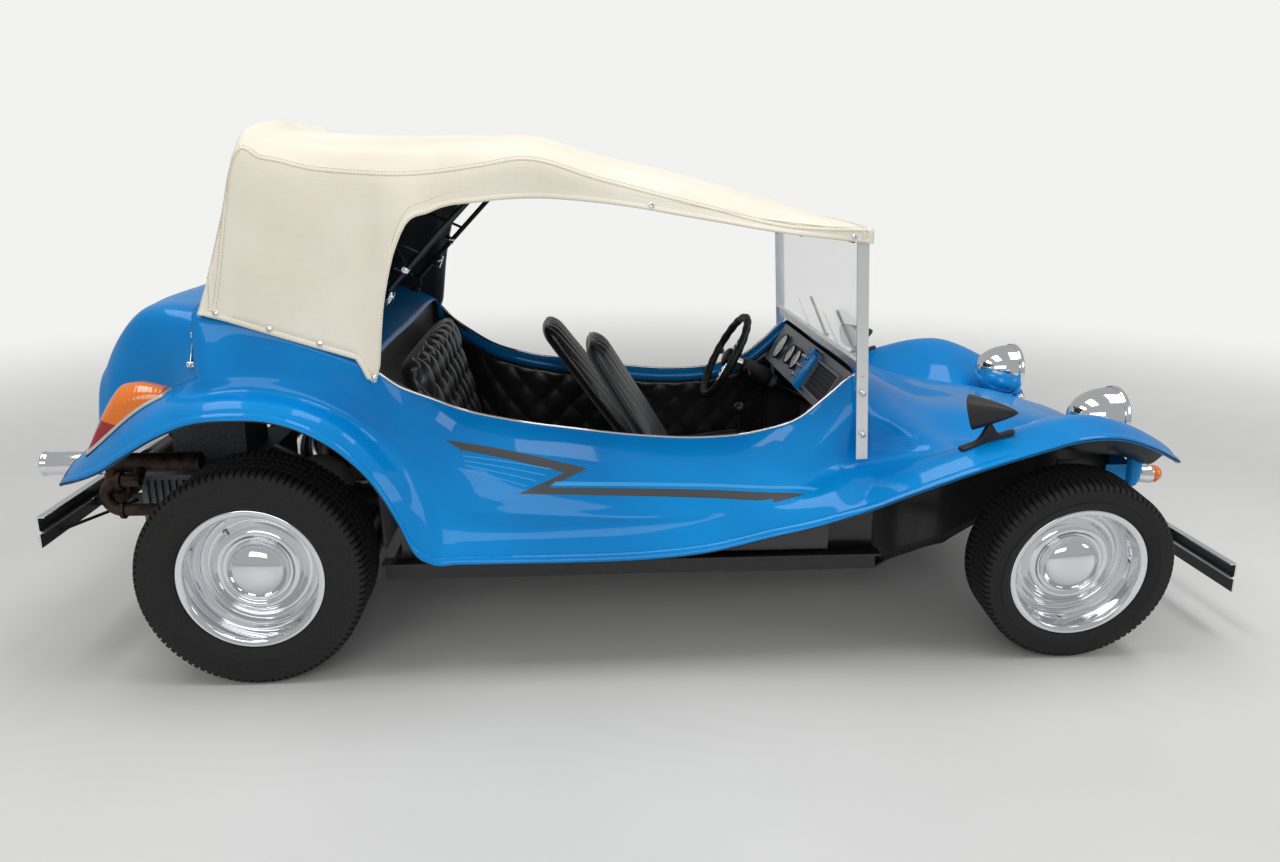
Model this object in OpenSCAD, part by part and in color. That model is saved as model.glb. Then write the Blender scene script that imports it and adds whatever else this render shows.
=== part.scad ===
// Dune buggy with a moulded one-piece body on a shortened-saloon style floor pan,
// rear engine, soft top, and deep-dish wheels. Millimetres, +X forward, +Y left, +Z up.
// The origin lies on the ground, at the middle of the overall length and width.

/* [Chassis] */
// Distance between the front and rear axles
wheelbase = 2400; // [2300:10:2500]
// Front axle centre to the front face of the front bumper
front_overhang = 590; // [560:5:650]
// Rear axle centre to the ends of the exhaust tips
rear_overhang = 705; // [680:5:760]
// Height of the underside of the floor pan above the ground
floor_z = 215; // [190:5:230]
// Half width of the floor pan
floor_half = 575; // [540:5:590]
// Thickness of the pressed steel floor
floor_t = 8; // [4:1:12]

/* [Body] */
// Thickness of the moulded body skin
skin_t = 7; // [5:1:9]
// Stations along each span of the body's table of sections
steps_x = 1; // [1:1:3]
// Facets along each span of a section
steps_s = 3; // [2:1:4]
// Gap between the engine cover and the body round it
cover_gap = 8; // [6:1:12]
// Angle to which the engine cover opens
cover_open = 55; // [30:5:65]

/* [Front wheels] */
// Radius over the tread
front_tyre_r = 288; // [280:1:296]
// Width across the sidewalls
front_tyre_w = 194; // [180:1:205]
// Lean of the wheels, top outward
camber = 6.5; // [0:0.5:8]
// Distance from the centre plane to a kingpin
kingpin_y = 572; // [560:1:580]
// Distance from the centre plane to the middle of a front rim
front_rim_y = 684; // [676:1:692]
// Turn of the wheels to either side
steer_max = 26; // [15:1:28]
// Width of a front rim between its flanges
front_rim_w = 152; // [140:1:160]

/* [Rear wheels] */
// Radius over the tread
rear_tyre_r = 321; // [310:1:330]
// Width across the sidewalls
rear_tyre_w = 246; // [230:1:255]
// Distance from the centre plane to the middle of a rear rim
rear_rim_y = 644; // [636:1:660]
// Width of a rear rim between its flanges
rear_rim_w = 204; // [190:1:210]

/* [Rims] */
// Radius of the bead seats
bead_r = 190; // [185:1:195]
// Height of a rim flange above its bead seat
flange_h = 18; // [14:1:20]
// Thickness of the rim's steel
rim_t = 5; // [4:1:7]
// Radius of the domed hub cap
cap_r = 88; // [70:1:95]

/* [Windshield] */
// Height of the top of the windshield posts
screen_top_z = 1275; // [1240:5:1300]
// Distance from the front axle back to the posts
screen_back = 628; // [610:2:650]
// Half width over the windshield posts
screen_half = 601; // [596:1:606]
// Width of a post's flat bar
post_w = 34; // [26:1:40]

/* [Soft top] */
// Thickness of the canvas
canvas_t = 6; // [4:1:6]

/* [Seats] */
// Width of a front bucket seat
seat_w = 430; // [400:5:470]
// Distance from the centre plane to the middle of a front seat
seat_y = 296; // [294:1:300]
// Length of a front seat's back
seat_back_h = 645; // [540:5:680]
// Lean of the driver's seat back, on the left
seat_lean_left = 37; // [30:1:40]
// Lean of the other front seat's back
seat_lean_right = 31; // [25:1:35]

/* [Steering] */
// Radius of the steering wheel to the middle of its rim
wheel_rim_r = 165; // [150:1:180]
// Rake of the steering column above level
column_rake = 28; // [20:1:35]

/* [Bumpers] */
// Half length of the front bumper
front_bumper_half = 620; // [560:5:660]
// Half length of the rear bumper
rear_bumper_half = 600; // [540:5:640]
// Height of a bumper blade
blade_h = 96; // [80:2:110]

/* [Hidden] */
$fn = 48;

clear = 0.3;
overall = wheelbase + front_overhang + rear_overhang;
fa = overall / 2 - front_overhang;
ra = fa - wheelbase;

// ---------- curves ----------
// Rows of a table are [x, values...]; a value between rows follows a smooth cubic in x.
function row_of(T, x) = max([for (k = [0 : len(T) - 2]) if (k == 0 || T[k][0] <= x) k]);
function rise(T, k, c) = (T[k + 1][c] - T[k][c]) / (T[k + 1][0] - T[k][0]);
function slope(T, k, c) = k == 0 ? rise(T, 0, c) : k == len(T) - 1 ? rise(T, k - 1, c)
    : (rise(T, k - 1, c) * (T[k + 1][0] - T[k][0]) + rise(T, k, c) * (T[k][0] - T[k - 1][0]))
        / (T[k + 1][0] - T[k - 1][0]);
function cubic(a, b, ma, mb, t) = a * (2*t*t*t - 3*t*t + 1) + b * (3*t*t - 2*t*t*t)
    + ma * (t*t*t - 2*t*t + t) + mb * (t*t*t - t*t);
function at(T, c, x) = let (k = row_of(T, x), h = T[k + 1][0] - T[k][0])
    cubic(T[k][c], T[k + 1][c], slope(T, k, c) * h, slope(T, k + 1, c) * h, (x - T[k][0]) / h);
// A smooth curve through points, whose bends follow the distances between them
function pull(a, b, c) = let (u = norm(b - a), v = norm(c - b))
    ((b - a) / u * v + (c - b) / v * u) / (u + v);
function through(P, k, t) = let (n = len(P) - 1, d = norm(P[k + 1] - P[k]),
    before = k == 0 ? d : norm(P[k] - P[k - 1]),
    after = k == n - 1 ? d : norm(P[k + 2] - P[k + 1]),
    m0 = k == 0 ? [1, 0] : pull(P[k - 1], P[k], P[k + 1]),
    m1 = k == n - 1 ? (P[n] - P[n - 1]) / d : pull(P[k], P[k + 1], P[k + 2]))
    cubic(P[k], P[k + 1], m0 * min(d, 1.6 * before), m1 * min(d, 1.6 * after), t);

// ---------- skins: a closed solid from a grid of outer points with some cells left out ----------
function near(G, i, j) = G[max(0, min(len(G) - 1, i))][max(0, min(len(G[0]) - 1, j))];
function normal(G, i, j) = let (n = cross(near(G, i, j + 1) - near(G, i, j - 1),
    near(G, i + 1, j) - near(G, i - 1, j))) n / max(norm(n), 0.001);
// keep(i, j) is a list of rows of 0 or 1, one per cell
module skin(G, K, t) {
    ni = len(G);
    nj = len(G[0]);
    pts = concat([for (i = [0 : ni - 1]) for (j = [0 : nj - 1]) G[i][j]],
        [for (i = [0 : ni - 1]) for (j = [0 : nj - 1]) G[i][j] - t * normal(G, i, j)]);
    m = ni * nj;
    function id(i, j) = i * nj + j;
    function has(i, j) = i >= 0 && j >= 0 && i < ni - 1 && j < nj - 1 && K[i][j] == 1;
    // The diagonals mirror each other about the middle column
    faces = [for (i = [0 : ni - 2]) for (j = [0 : nj - 2]) if (has(i, j))
        let (a = id(i, j), b = id(i + 1, j), c = id(i + 1, j + 1), d = id(i, j + 1)) each concat(
            j >= (nj - 1) / 2 ? [[a, b, c], [a, c, d], [m + a, m + c, m + b], [m + a, m + d, m + c]]
                : [[a, b, d], [b, c, d], [m + a, m + d, m + b], [m + b, m + d, m + c]],
            has(i - 1, j) ? [] : [[a, d, m + d], [a, m + d, m + a]],
            has(i + 1, j) ? [] : [[b, m + c, c], [b, m + b, m + c]],
            has(i, j - 1) ? [] : [[a, m + b, b], [a, m + a, m + b]],
            has(i, j + 1) ? [] : [[c, m + d, d], [c, m + c, m + d]])];
    polyhedron(pts, faces, convexity = 10);
}
// A closed solid between a top grid and the grid below it
module slab(T, B, s) {
    ni = len(T);
    nj = len(T[0]);
    m = ni * nj;
    function id(i, j) = s < 0 ? i * nj + j : i * nj + (nj - 1 - j);
    function flat(G) = [for (r = G) each r];
    polyhedron(concat(flat(T), flat(B)), [for (i = [0 : ni - 2]) for (j = [0 : nj - 2])
        let (a = id(i, j), b = id(i + 1, j), c = id(i + 1, j + 1), d = id(i, j + 1)) each concat(
            [[a, c, b], [a, d, c], [m + a, m + b, m + c], [m + a, m + c, m + d]],
            i > 0 ? [] : [[a, m + d, d], [a, m + a, m + d]],
            i < ni - 2 ? [] : [[b, c, m + c], [b, m + c, m + b]],
            j > 0 ? [] : [[a, b, m + b], [a, m + b, m + a]],
            j < nj - 2 ? [] : [[c, d, m + d], [c, m + d, m + c]])], convexity = 4);
}
function all_cells(ni, nj) = [for (i = [1 : ni - 1]) [for (j = [1 : nj - 1]) 1]];

// ---------- the body ----------
// Sections of the body, right half, from the tail to the front tips of the wings.
// x from an axle | centre z | top y, z | upper y, z | low y, z | crown y, z | lip y, z
// top is the cockpit rim, the rear deck's edge or the bonnet's shoulder; upper and low run down
// the side or the bonnet's flank; crown is the outer curve of the wing above its lip.
body_rows = [
    [ra - 500, 1000, 600, 990, 500, 648, 585, 640, 650, 622, 702, 598],
    [ra - 440, 1020, 610, 1005, 500, 700, 590, 692, 692, 655, 748, 620],
    [ra - 370, 1035, 630, 1020, 505, 752, 600, 748, 714, 702, 776, 648],
    [ra - 280, 1045, 650, 1035, 530, 806, 625, 808, 730, 765, 793, 702],
    [ra - 200, 1052, 665, 1045, 590, 846, 660, 836, 742, 806, 800, 748],
    [ra - 110, 1060, 668, 1050, 694, 884, 706, 850, 764, 828, 805, 785],
    [ra +  10, 1058, 674, 1034, 698, 890, 710, 860, 768, 839, 807, 797],
    [ra + 120, 1045, 684, 1000, 700, 884, 712, 848, 768, 828, 806, 788],
    [ra + 220, 1015, 692, 966, 701, 862, 710, 818, 766, 795, 804, 748],
    [ra + 300, 975, 696, 936, 701, 832, 708, 772, 764, 744, 800, 688],
    [ra + 370, 930, 690, 905, 700, 800, 706, 715, 760, 668, 797, 606],
    [ra + 430, 890, 655, 850, 690, 760, 704, 650, 757, 572, 791, 492],
    [ra + 465, 870, 632, 828, 682, 735, 702, 605, 752, 505, 785, 405],
    [ra + 505, 850, 608, 806, 670, 715, 700, 572, 744, 446, 780, 370],
    [ra + 590, 820, 570, 762, 650, 684, 700, 548, 732, 432, 771, 362],
    [ra + 720, 790, 545, 724, 632, 652, 700, 528, 727, 425, 768, 360],
    [ra + 920, 780, 542, 692, 626, 622, 698, 512, 727, 425, 768, 359],
    [fa - 1290, 780, 538, 668, 622, 602, 696, 502, 729, 426, 768, 363],
    [fa - 1100, 790, 530, 656, 612, 595, 690, 505, 728, 440, 768, 382],
    [fa - 920, 810, 522, 672, 600, 605, 676, 530, 727, 480, 770, 424],
    [fa - 800, 825, 520, 712, 586, 628, 640, 552, 715, 510, 773, 452],
    [fa - 715, 840, 520, 782, 574, 690, 604, 580, 700, 540, 776, 478],
    [fa - 640, 860, 520, 842, 570, 745, 586, 580, 690, 548, 778, 504],
    [fa - 560, 822, 450, 802, 556, 715, 580, 590, 690, 576, 781, 536],
    [fa - 450, 758, 380, 744, 522, 668, 574, 606, 690, 620, 787, 578],
    [fa - 320, 700, 330, 688, 470, 622, 565, 622, 700, 666, 793, 625],
    [fa - 170, 668, 300, 656, 415, 598, 522, 650, 683, 712, 797, 672],
    [fa -  50, 650, 285, 638, 395, 588, 505, 672, 672, 738, 799, 704],
    [fa +  60, 632, 278, 620, 388, 576, 500, 664, 668, 740, 798, 706],
    [fa + 160, 610, 276, 598, 390, 556, 500, 626, 664, 708, 788, 676],
    [fa + 240, 586, 280, 575, 400, 550, 500, 588, 650, 668, 758, 636],
    [fa + 300, 566, 284, 557, 408, 542, 500, 560, 626, 630, 702, 606],
    [fa + 330, 556, 286, 547, 408, 532, 496, 542, 590, 604, 640, 590]];
X = 0;
DECK = 1;
TOP = 2;
body_x = [for (k = [0 : len(body_rows) - 2]) for (i = [0 : steps_x - 1])
    body_rows[k][X] + (body_rows[k + 1][X] - body_rows[k][X]) * i / steps_x,
    body_rows[len(body_rows) - 1][X]];
// The points that a section passes through, from the centre line out to the lip
function marks(x) = [for (k = [0 : 5]) k == 0 ? [0, at(body_rows, DECK, x)]
    : [at(body_rows, 2 * k, x), at(body_rows, 2 * k + 1, x)]];
function half_section(x) = let (P = marks(x)) [for (k = [0 : 4]) for (i = [0 : steps_s - 1])
    through(P, k, i / steps_s), P[5]];
half_n = 5 * steps_s;
function section(x) = let (H = half_section(x))
    [for (j = [-half_n : half_n]) let (p = H[abs(j)]) [j < 0 ? p[0] : -p[0], p[1]]];
body_grid = [for (x = body_x) [for (p = section(x)) [x, p[0], p[1]]]];
cockpit_rear_x = ra + 370;
cockpit_front_x = fa - 640;
deck_rear_x = ra - 110;
// The deck and bonnet close the middle; behind the deck only the tails of the wings go on
function body_cell(x, j) = let (k = floor((j >= half_n ? j - half_n : half_n - 1 - j) / steps_s))
    x < deck_rear_x ? (k >= 2 ? 1 : 0)
    : x < cockpit_rear_x ? 1
    : x < cockpit_front_x ? (k >= 1 ? 1 : 0) : 1;
body_cells = [for (i = [0 : len(body_x) - 2])
    [for (j = [0 : 2 * half_n - 1]) body_cell((body_x[i] + body_x[i + 1]) / 2, j)]];
// The underside of the body at a station, as an outline for panels that close it
function under(x, k1, gap) = let (H = half_section(x)) [for (j = [0 : k1 * steps_s])
    [max(0, H[j][0] - gap), H[j][1] - gap]];
function closed_under(x, k1, gap, foot) = let (U = under(x, k1, gap)) concat(U, foot,
    [for (p = [len(foot) - 1 : -1 : 0]) [-foot[p][0], foot[p][1]]], [for (i = [len(U) - 1 : -1 : 1]) [-U[i][0], U[i][1]]]);
// Cross section at x of the skin's own facets, and its height at x, y
function facets_at(x) = let (i = max([for (k = [0 : len(body_x) - 2]) if (k == 0 || body_x[k] <= x) k]),
    t = (x - body_x[i]) / (body_x[i + 1] - body_x[i]), A = half_section(body_x[i]), B = half_section(body_x[i + 1]))
    [for (j = [0 : 5 * steps_s]) each concat([A[j] * (1 - t) + B[j] * t],
        j < 5 * steps_s ? [A[j] * (1 - t) + B[j + 1] * t] : [])];
function along(H, y) = let (k = max([for (i = [0 : len(H) - 2]) if (i == 0 || H[i][0] <= y) i]))
    H[k][1] + (H[k + 1][1] - H[k][1]) * (y - H[k][0]) / max(H[k + 1][0] - H[k][0], 0.001);
function skin_z(x, y) = along(facets_at(x), abs(y));
// Where the outer skin's side is at x and height z
function side_y(x, z) = let (F = facets_at(x), k = min([for (i = [0 : len(F) - 2]) if (F[i + 1][1] <= z) i]))
    F[k][0] + (F[k + 1][0] - F[k][0]) * (F[k][1] - z) / max(F[k][1] - F[k + 1][1], 0.001);
// The skin's upward normal at x, y, and a place on it with +Z along that normal
function skin_normal(x, y) = let (d = 2, n = cross([2 * d, 0, skin_z(x + d, y) - skin_z(x - d, y)],
    [0, 2 * d, skin_z(x, y + d) - skin_z(x, y - d)])) n / norm(n);
module on_skin(x, y) let (n = skin_normal(x, y)) translate([x, y, skin_z(x, y)])
    rotate([0, acos(n[2]), atan2(n[1], n[0])]) translate([0, 0, seat_gap]) children();
seat_gap = 0.6;
// A round bar from a to b
module rod(a, b, r) let (v = b - a) translate(a) rotate([0, acos(v[2] / norm(v)), atan2(v[1], v[0])])
    cylinder(r = r, h = norm(v));

module body_shell() color("royalblue") skin(body_grid, body_cells, skin_t);

// Blue end panel under the bonnet's front edge, and the black splash walls behind it
panel_x = fa + 300;
panel_half = 448;
panel_foot = 440;
module front_panel() color("royalblue") {
    translate([panel_x, 0, 0]) rotate([90, 0, -90]) linear_extrude(8)
        polygon(closed_under(panel_x, 2, 1.12 * skin_t, [[panel_half, skin_z(panel_x, panel_half) - 24], [panel_half, 470], [420, panel_foot]]));
    for (s = [-1, 1]) translate([panel_x - 80, s * (panel_half - 4) - 4, 470])
        cube([72, 8, 52]);
}

// ---------- the engine cover ----------
// x | half width of the flat crown | crown z | half width at the foot | foot z
cover_rows = [
    [ra - 560, 240, 690, 330, 640],
    [ra - 540, 330, 800, 400, 650],
    [ra - 505, 385, 900, 460, 660],
    [ra - 440, 430, 996, 480, 690],
    [ra - 370, 460, 1048, 488, 740],
    [ra - 280, 480, 1068, 512, 796],
    [ra - 200, 492, 1066, 570, 836],
    [ra - 118, 500, 1060, 640, 872]];
cover_x0 = ra - 110 - cover_gap;
module engine_cover() color("royalblue") {
    grid = [for (r = cover_rows) let (x = r[0]) [for (j = [-6 : 6]) let (
        P = [[0, r[2]], [r[1] * 0.72, r[2] - 4], [r[1], r[2] - 22], [r[3], r[4]]],
        a = abs(j), p = through(P, min(2, floor(a / 2)), a / 2 - min(2, floor(a / 2))))
        [x, j < 0 ? p[0] : -p[0], p[1]]]];
    skin(grid, all_cells(len(grid), 13), skin_t);
    // Moving hinge halves: a barrel on the pin and a leaf down to the cover
    for (s = [-1, 1]) translate([hinge_x, s * hinge_y, hinge_z]) rotate([90, 0, 0]) difference() {
        linear_extrude(2 * barrel_half, center = true) union() {
            circle(r = barrel_r);
            polygon([[0, barrel_r], [-40, cover_top_z - hinge_z + 2], [-40, cover_top_z - hinge_z - 7],
                [-12, cover_top_z - hinge_z - 7], [-8, -4]]);
        }
        cylinder(r = pin_r + clear, h = 2 * barrel_half + 2, center = true);
    }
}

hinge_x = ra - 118;
hinge_z = 1084;
hinge_y = 300;
pin_r = 4;
barrel_r = 8;
barrel_half = 22;
ear_gap = 2;
cover_top_z = 1056;
// Fixed hinge halves: a pin between two ears whose leaf stands on the deck
module cover_hinges() color([0.5, 0.5, 0.52]) for (s = [-1, 1]) {
    rod([hinge_x, s * hinge_y - 30, hinge_z], [hinge_x, s * hinge_y + 30, hinge_z], pin_r);
    for (e = [-36, barrel_half + ear_gap]) translate([0, s * hinge_y + e, 0]) {
        rod([hinge_x, 0, hinge_z], [hinge_x, 12, hinge_z], 8);
        translate([hinge_x, 0, hinge_z + 1]) cube([56, 12, 6]);
    }
    translate([hinge_x + 38, s * hinge_y - 34, hinge_z + 2]) cube([16, 68, 4]);
    on_skin(hinge_x + 46, s * hinge_y) cylinder(r = 7, h = hinge_z + 3 - skin_z(hinge_x + 46, hinge_y));
}

// ---------- cockpit ----------
tub_t = 8;
// A point under the rim at x, just inside the skin
function under_rim(x) = let (H = half_section(x), d = H[steps_s + 1] - H[steps_s], n = [-d[1], d[0]] / norm(d))
    H[steps_s] - (skin_t + 1) * n;
pan_toe = fa - 540;
pan_low = 520;
edge_h = 70;
module cockpit_tub() color([0.07, 0.07, 0.08]) {
    x0 = cockpit_rear_x + 20;
    x1 = fa - 700;
    for (s = [-1, 1]) {
        grid = [for (x = [x0 : (x1 - x0) / 12 : x1 + 1]) let (P = under_rim(x))
            [for (k = [0 : 4]) let (t = k / 4, p = P * (1 - t) + [540, floor_z + edge_h + tub_t] * t)
                [x, s * p[0], p[1]]]];
        if (s > 0) skin([for (r = grid) [for (k = [4 : -1 : 0]) r[k]]], all_cells(len(grid), 5), tub_t);
        else skin(grid, all_cells(len(grid), 5), tub_t);
    }
    // Rear bulkhead behind the rear seat, and the firewall under the dash, both cut for the tunnel
    for (w = [[cockpit_rear_x - 30, 1, 560, 330], [fa - 560, 2, 500, floor_z + floor_t + clear]])
        translate([w[0], 0, 0]) rotate([90, 0, 90]) linear_extrude(tub_t) difference() {
            polygon(closed_under(w[0], w[1], skin_t + 8, [[w[2], w[3]]]));
            square([2 * (tunnel_half + clear), 2 * (floor_z + tunnel_h + clear)], center = true);
        }
}

// ---------- chassis ----------
tunnel_half = 75;
tunnel_h = 150;
pan_front = fa - 250;
pan_rear = ra + 330;
module floor_pan() color([0.06, 0.06, 0.07]) difference() {
    union() {
        // Floor, drawn in from the firewall to the frame head
        translate([0, 0, floor_z]) linear_extrude(floor_t) polygon([[pan_rear, -pan_low], [pan_toe, -pan_low],
            [pan_front, -230], [pan_front, 230], [pan_toe, pan_low], [pan_rear, pan_low]]);
        // Raised edge that the body bolts to
        for (s = [0, 1]) mirror([0, s, 0]) translate([pan_rear, 0, floor_z]) rotate([90, 0, 90])
            linear_extrude(pan_toe - pan_rear) polygon([[pan_low - 6, 0], [pan_low, 0], [pan_low, edge_h - 6],
                [floor_half, edge_h - 6], [floor_half, edge_h], [pan_low - 6, edge_h]]);
        translate([pan_rear, -tunnel_half, floor_z]) cube([pan_front - pan_rear, 2 * tunnel_half, tunnel_h]);
    }
    translate([pan_rear - 1, -tunnel_half + 6, floor_z - 1])
        cube([pan_front - pan_rear + 2, 2 * tunnel_half - 12, tunnel_h - 5]);
}

beam_x = fa + 118;
beam_half = 452;
tube_r = 26;
low_tube_z = 215;
high_tube_z = 345;
tower_y = 396;
damper_y = 428;
eye_gap = 72;
eye_h = 18;
module front_beam() color([0.08, 0.08, 0.09]) {
    for (z = [low_tube_z, high_tube_z])
        rod([beam_x, -beam_half, z], [beam_x, beam_half, z], tube_r);
    for (s = [-1, 1]) {
        for (e = [[low_tube_z, -1], [high_tube_z, 1]]) let (z = front_z + e[1] * (eye_gap + clear + eye_h / 2)) {
            rod([beam_x, s * (beam_half - 1), e[0]], [beam_x, s * (arm_y + 14), e[0]], 33);
            rod([beam_x, s * arm_y, e[0]], [fa + 24, s * 528, z], 14);
            translate([fa, s * kingpin_y, z]) cylinder(r = 18, h = eye_h, center = true);
            translate([fa + 24, s * 528, z]) rotate([0, 0, s > 0 ? 118 : -118]) translate([0, -9, -eye_h / 2 + 2])
                cube([42, 18, eye_h - 4]);
        }
        // Tower and damper
        translate([beam_x - 38, s * tower_y - 5, low_tube_z + 10]) cube([64, 10, high_tube_z - low_tube_z + 170]);
        rod([beam_x - 6, s * damper_y, low_tube_z + 40], [beam_x - 6, s * damper_y, high_tube_z + 140], 22);
        rod([beam_x - 6, s * (tower_y - 14), high_tube_z + 130], [beam_x - 6, s * (damper_y + 8), high_tube_z + 130], 8);
    }
    // Frame head, from the beam back to the floor pan
    translate([pan_front, -tunnel_half, floor_z + 1]) cube([beam_x - pan_front, 2 * tunnel_half, 80]);
}
arm_y = 482;

// ---------- front wheels and steering ----------
function drop(r, w, a) = (r - a) * cos(camber) + (w - a) * sin(camber) + a;
tread_half = 70;
shoulder_a = 24;
front_z = (front_tyre_r - shoulder_a) * cos(camber) + tread_half * sin(camber) + shoulder_a;
rear_z = rear_tyre_r;

// s is +1 on the left and -1 on the right; children stand at the wheel's centre, axis along +Z outward
module front_place(s) translate([fa, s * front_rim_y, front_z]) rotate([s > 0 ? -90 - camber : 90 + camber, 0, 0])
    children();
module rear_place(s) translate([ra, s * rear_rim_y, rear_z]) rotate([s > 0 ? -90 : 90, 0, 0]) children();

stub_r = 17;
arm_z = front_z + 38;
module knuckle(s) color([0.1, 0.1, 0.11]) {
    translate([fa, s * kingpin_y, front_z - eye_gap]) cylinder(r = 20, h = 2 * eye_gap);
    front_place(s) translate([0, 0, -112]) cylinder(r = stub_r, h = 124);
    // Steering arm reaching back to the track rod
    hull() {
        translate([fa, s * kingpin_y, arm_z]) cylinder(r = 16, h = 16);
        translate([fa - 120, s * rod_end_y, arm_z]) cylinder(r = 18, h = 16);
    }
}
module knuckle_left() knuckle(1);
module knuckle_right() knuckle(-1);

rod_z = front_z + 18;
rod_end_y = kingpin_y - 60;
module track_rod() color([0.2, 0.2, 0.21]) {
    rod([fa - 120, -rod_end_y, rod_z], [fa - 120, rod_end_y, rod_z], 9);
    for (s = [-1, 1]) translate([fa - 120, s * rod_end_y, rod_z - 14]) cylinder(r = 13, h = arm_z - rod_z + 14 - clear);
}

// Rim section as a loop of [radius, distance outward]: barrel with a drop centre and two flanges
module rim_ring(w, disc_s) rotate_extrude($fn = 96) union() {
    h = w / 2;
    f = bead_r + flange_h;
    polygon([[bead_r, -h], [f, -h], [f, -h - rim_t], [bead_r - rim_t, -h - rim_t],
        [bead_r - rim_t, -h + 25], [bead_r - 26, -h + 42], [bead_r - 26, 8], [bead_r - rim_t, 30],
        [bead_r - rim_t, h + rim_t], [f, h + rim_t], [f, h], [bead_r, h], [bead_r, 27],
        [bead_r - 21, 6], [bead_r - 21, -h + 40], [bead_r, -h + 23]]);
    polygon([[60, disc_s + 16], [118, disc_s + 16], [134, disc_s - 2], [150, disc_s - 6],
        [bead_r - 22, disc_s - 14], [bead_r - 22, disc_s - 20], [148, disc_s - 12], [130, disc_s - 8],
        [115, disc_s + 10], [60, disc_s + 10]]);
}
module rim(w, disc_s) color("silver") {
    rim_ring(w, disc_s);
    cap(disc_s);
    // Brake drum behind the disc
    translate([0, 0, disc_s - 62]) rotate_extrude($fn = 64)
        polygon([[stub_r + clear, 0], [122, 0], [128, 6], [128, 44], [116, 54], [100, 72], [stub_r + clear, 72]]);
}
module rim_front_left() front_place(1) rim(front_rim_w, 0);
module rim_front_right() front_place(-1) rim(front_rim_w, 0);
module rim_rear_left() rear_place(1) rim(rear_rim_w, 14);
module rim_rear_right() rear_place(-1) rim(rear_rim_w, 14);

module cap(disc_s) translate([0, 0, disc_s + 16 + clear]) rotate_extrude($fn = 64)
    polygon(concat([[0, 0], [cap_r, 0]], [for (k = [0 : 10]) [cap_r * cos(9 * k), 4 + 42 * sin(9 * k)]]));

// Tyre section: flat tread, round shoulders, bulged walls down to the beads
module tyre(r, w, rim_w, tread) color([0.05, 0.05, 0.055]) rotate_extrude($fn = 96) {
    right = concat([for (k = [0 : 3]) [r - shoulder_a + shoulder_a * cos(22 * k),
            tread + shoulder_a * sin(22 * k)]],
        [[r - 45, w / 2 - 3], [bead_r + 48, w / 2], [bead_r + 30, w / 2 - 7],
            [bead_r + flange_h + 3, rim_w / 2 + rim_t], [bead_r + flange_h + clear, rim_w / 2 - 0.5],
            [bead_r + clear, rim_w / 2 - 0.5]]);
    polygon(concat([for (i = [0 : len(right) - 1]) [right[i][0], right[i][1]]],
        [for (i = [len(right) - 1 : -1 : 0]) [right[i][0], -right[i][1]]]));
}
module tyre_front_left() front_place(1) tyre(front_tyre_r, front_tyre_w, front_rim_w, tread_half);
module tyre_front_right() front_place(-1) tyre(front_tyre_r, front_tyre_w, front_rim_w, tread_half);
module tyre_rear_left() rear_place(1) tyre(rear_tyre_r, rear_tyre_w, rear_rim_w, 97);
module tyre_rear_right() rear_place(-1) tyre(rear_tyre_r, rear_tyre_w, rear_rim_w, 97);

// ---------- rear running gear ----------
bell_x = ra - 130;
nose_z = floor_z + tunnel_h / 2;
torsion_x = ra + 240;
axle_tube_r = 38;
module rear_suspension() color([0.08, 0.08, 0.09]) {
    translate([torsion_x, 0, 250]) rotate([90, 0, 0]) cylinder(r = 45, h = 900, center = true);
    translate([ra, 0, rear_z]) rotate([90, 0, 0]) cylinder(r = axle_tube_r, h = 2 * (rear_rim_y - 150), center = true);
    // Gearbox: final drive, bell housing against the engine, and a nose that runs forward to the pan
    rod([ra, -112, rear_z], [ra, 112, rear_z], 118);
    translate([bell_x, 0, rear_z + 20]) rotate([0, 90, 0]) cylinder(r1 = 165, r2 = 100, h = ra - bell_x);
    rod([ra, 0, nose_z], [pan_rear - clear, 0, nose_z], 66);
    rod([pan_rear - clear - 14, 0, nose_z], [pan_rear - clear, 0, nose_z], tunnel_half - 1);
    for (s = [-1, 1]) {
        rod([ra, s * 100, rear_z], [ra, s * (rear_rim_y + 20), rear_z], stub_r);
        translate([ra - 40, s * 462 - 5, 235]) cube([torsion_x - ra + 60, 10, 110]);
        translate([ra - 60, s * 440, 300]) rotate([0, 12, 0]) cylinder(r = 27, h = 260);
        translate([ra, s * (rear_rim_y - 155), rear_z]) rotate([90, 0, 0])
            cylinder(r = 105, h = 10, center = true);
    }
}
engine_x = ra - 460;
module engine() color([0.16, 0.16, 0.17]) {
    translate([engine_x, -300, 330]) cube([bell_x - clear - engine_x, 600, 165]);
    translate([engine_x + 40, -120, 494]) cube([240, 240, 226]);
    translate([engine_x + 20, 0, 640]) rotate([0, 90, 0]) cylinder(r = 112, h = 60);
}
tip_y = 375;
tip_z = 562;
tip_r = 36;
tip_l = 170;
header_y = 425;
header_r = 19;
bend_r = 47;
bend_x = ra - 465;
bend_z = 472;
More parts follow.
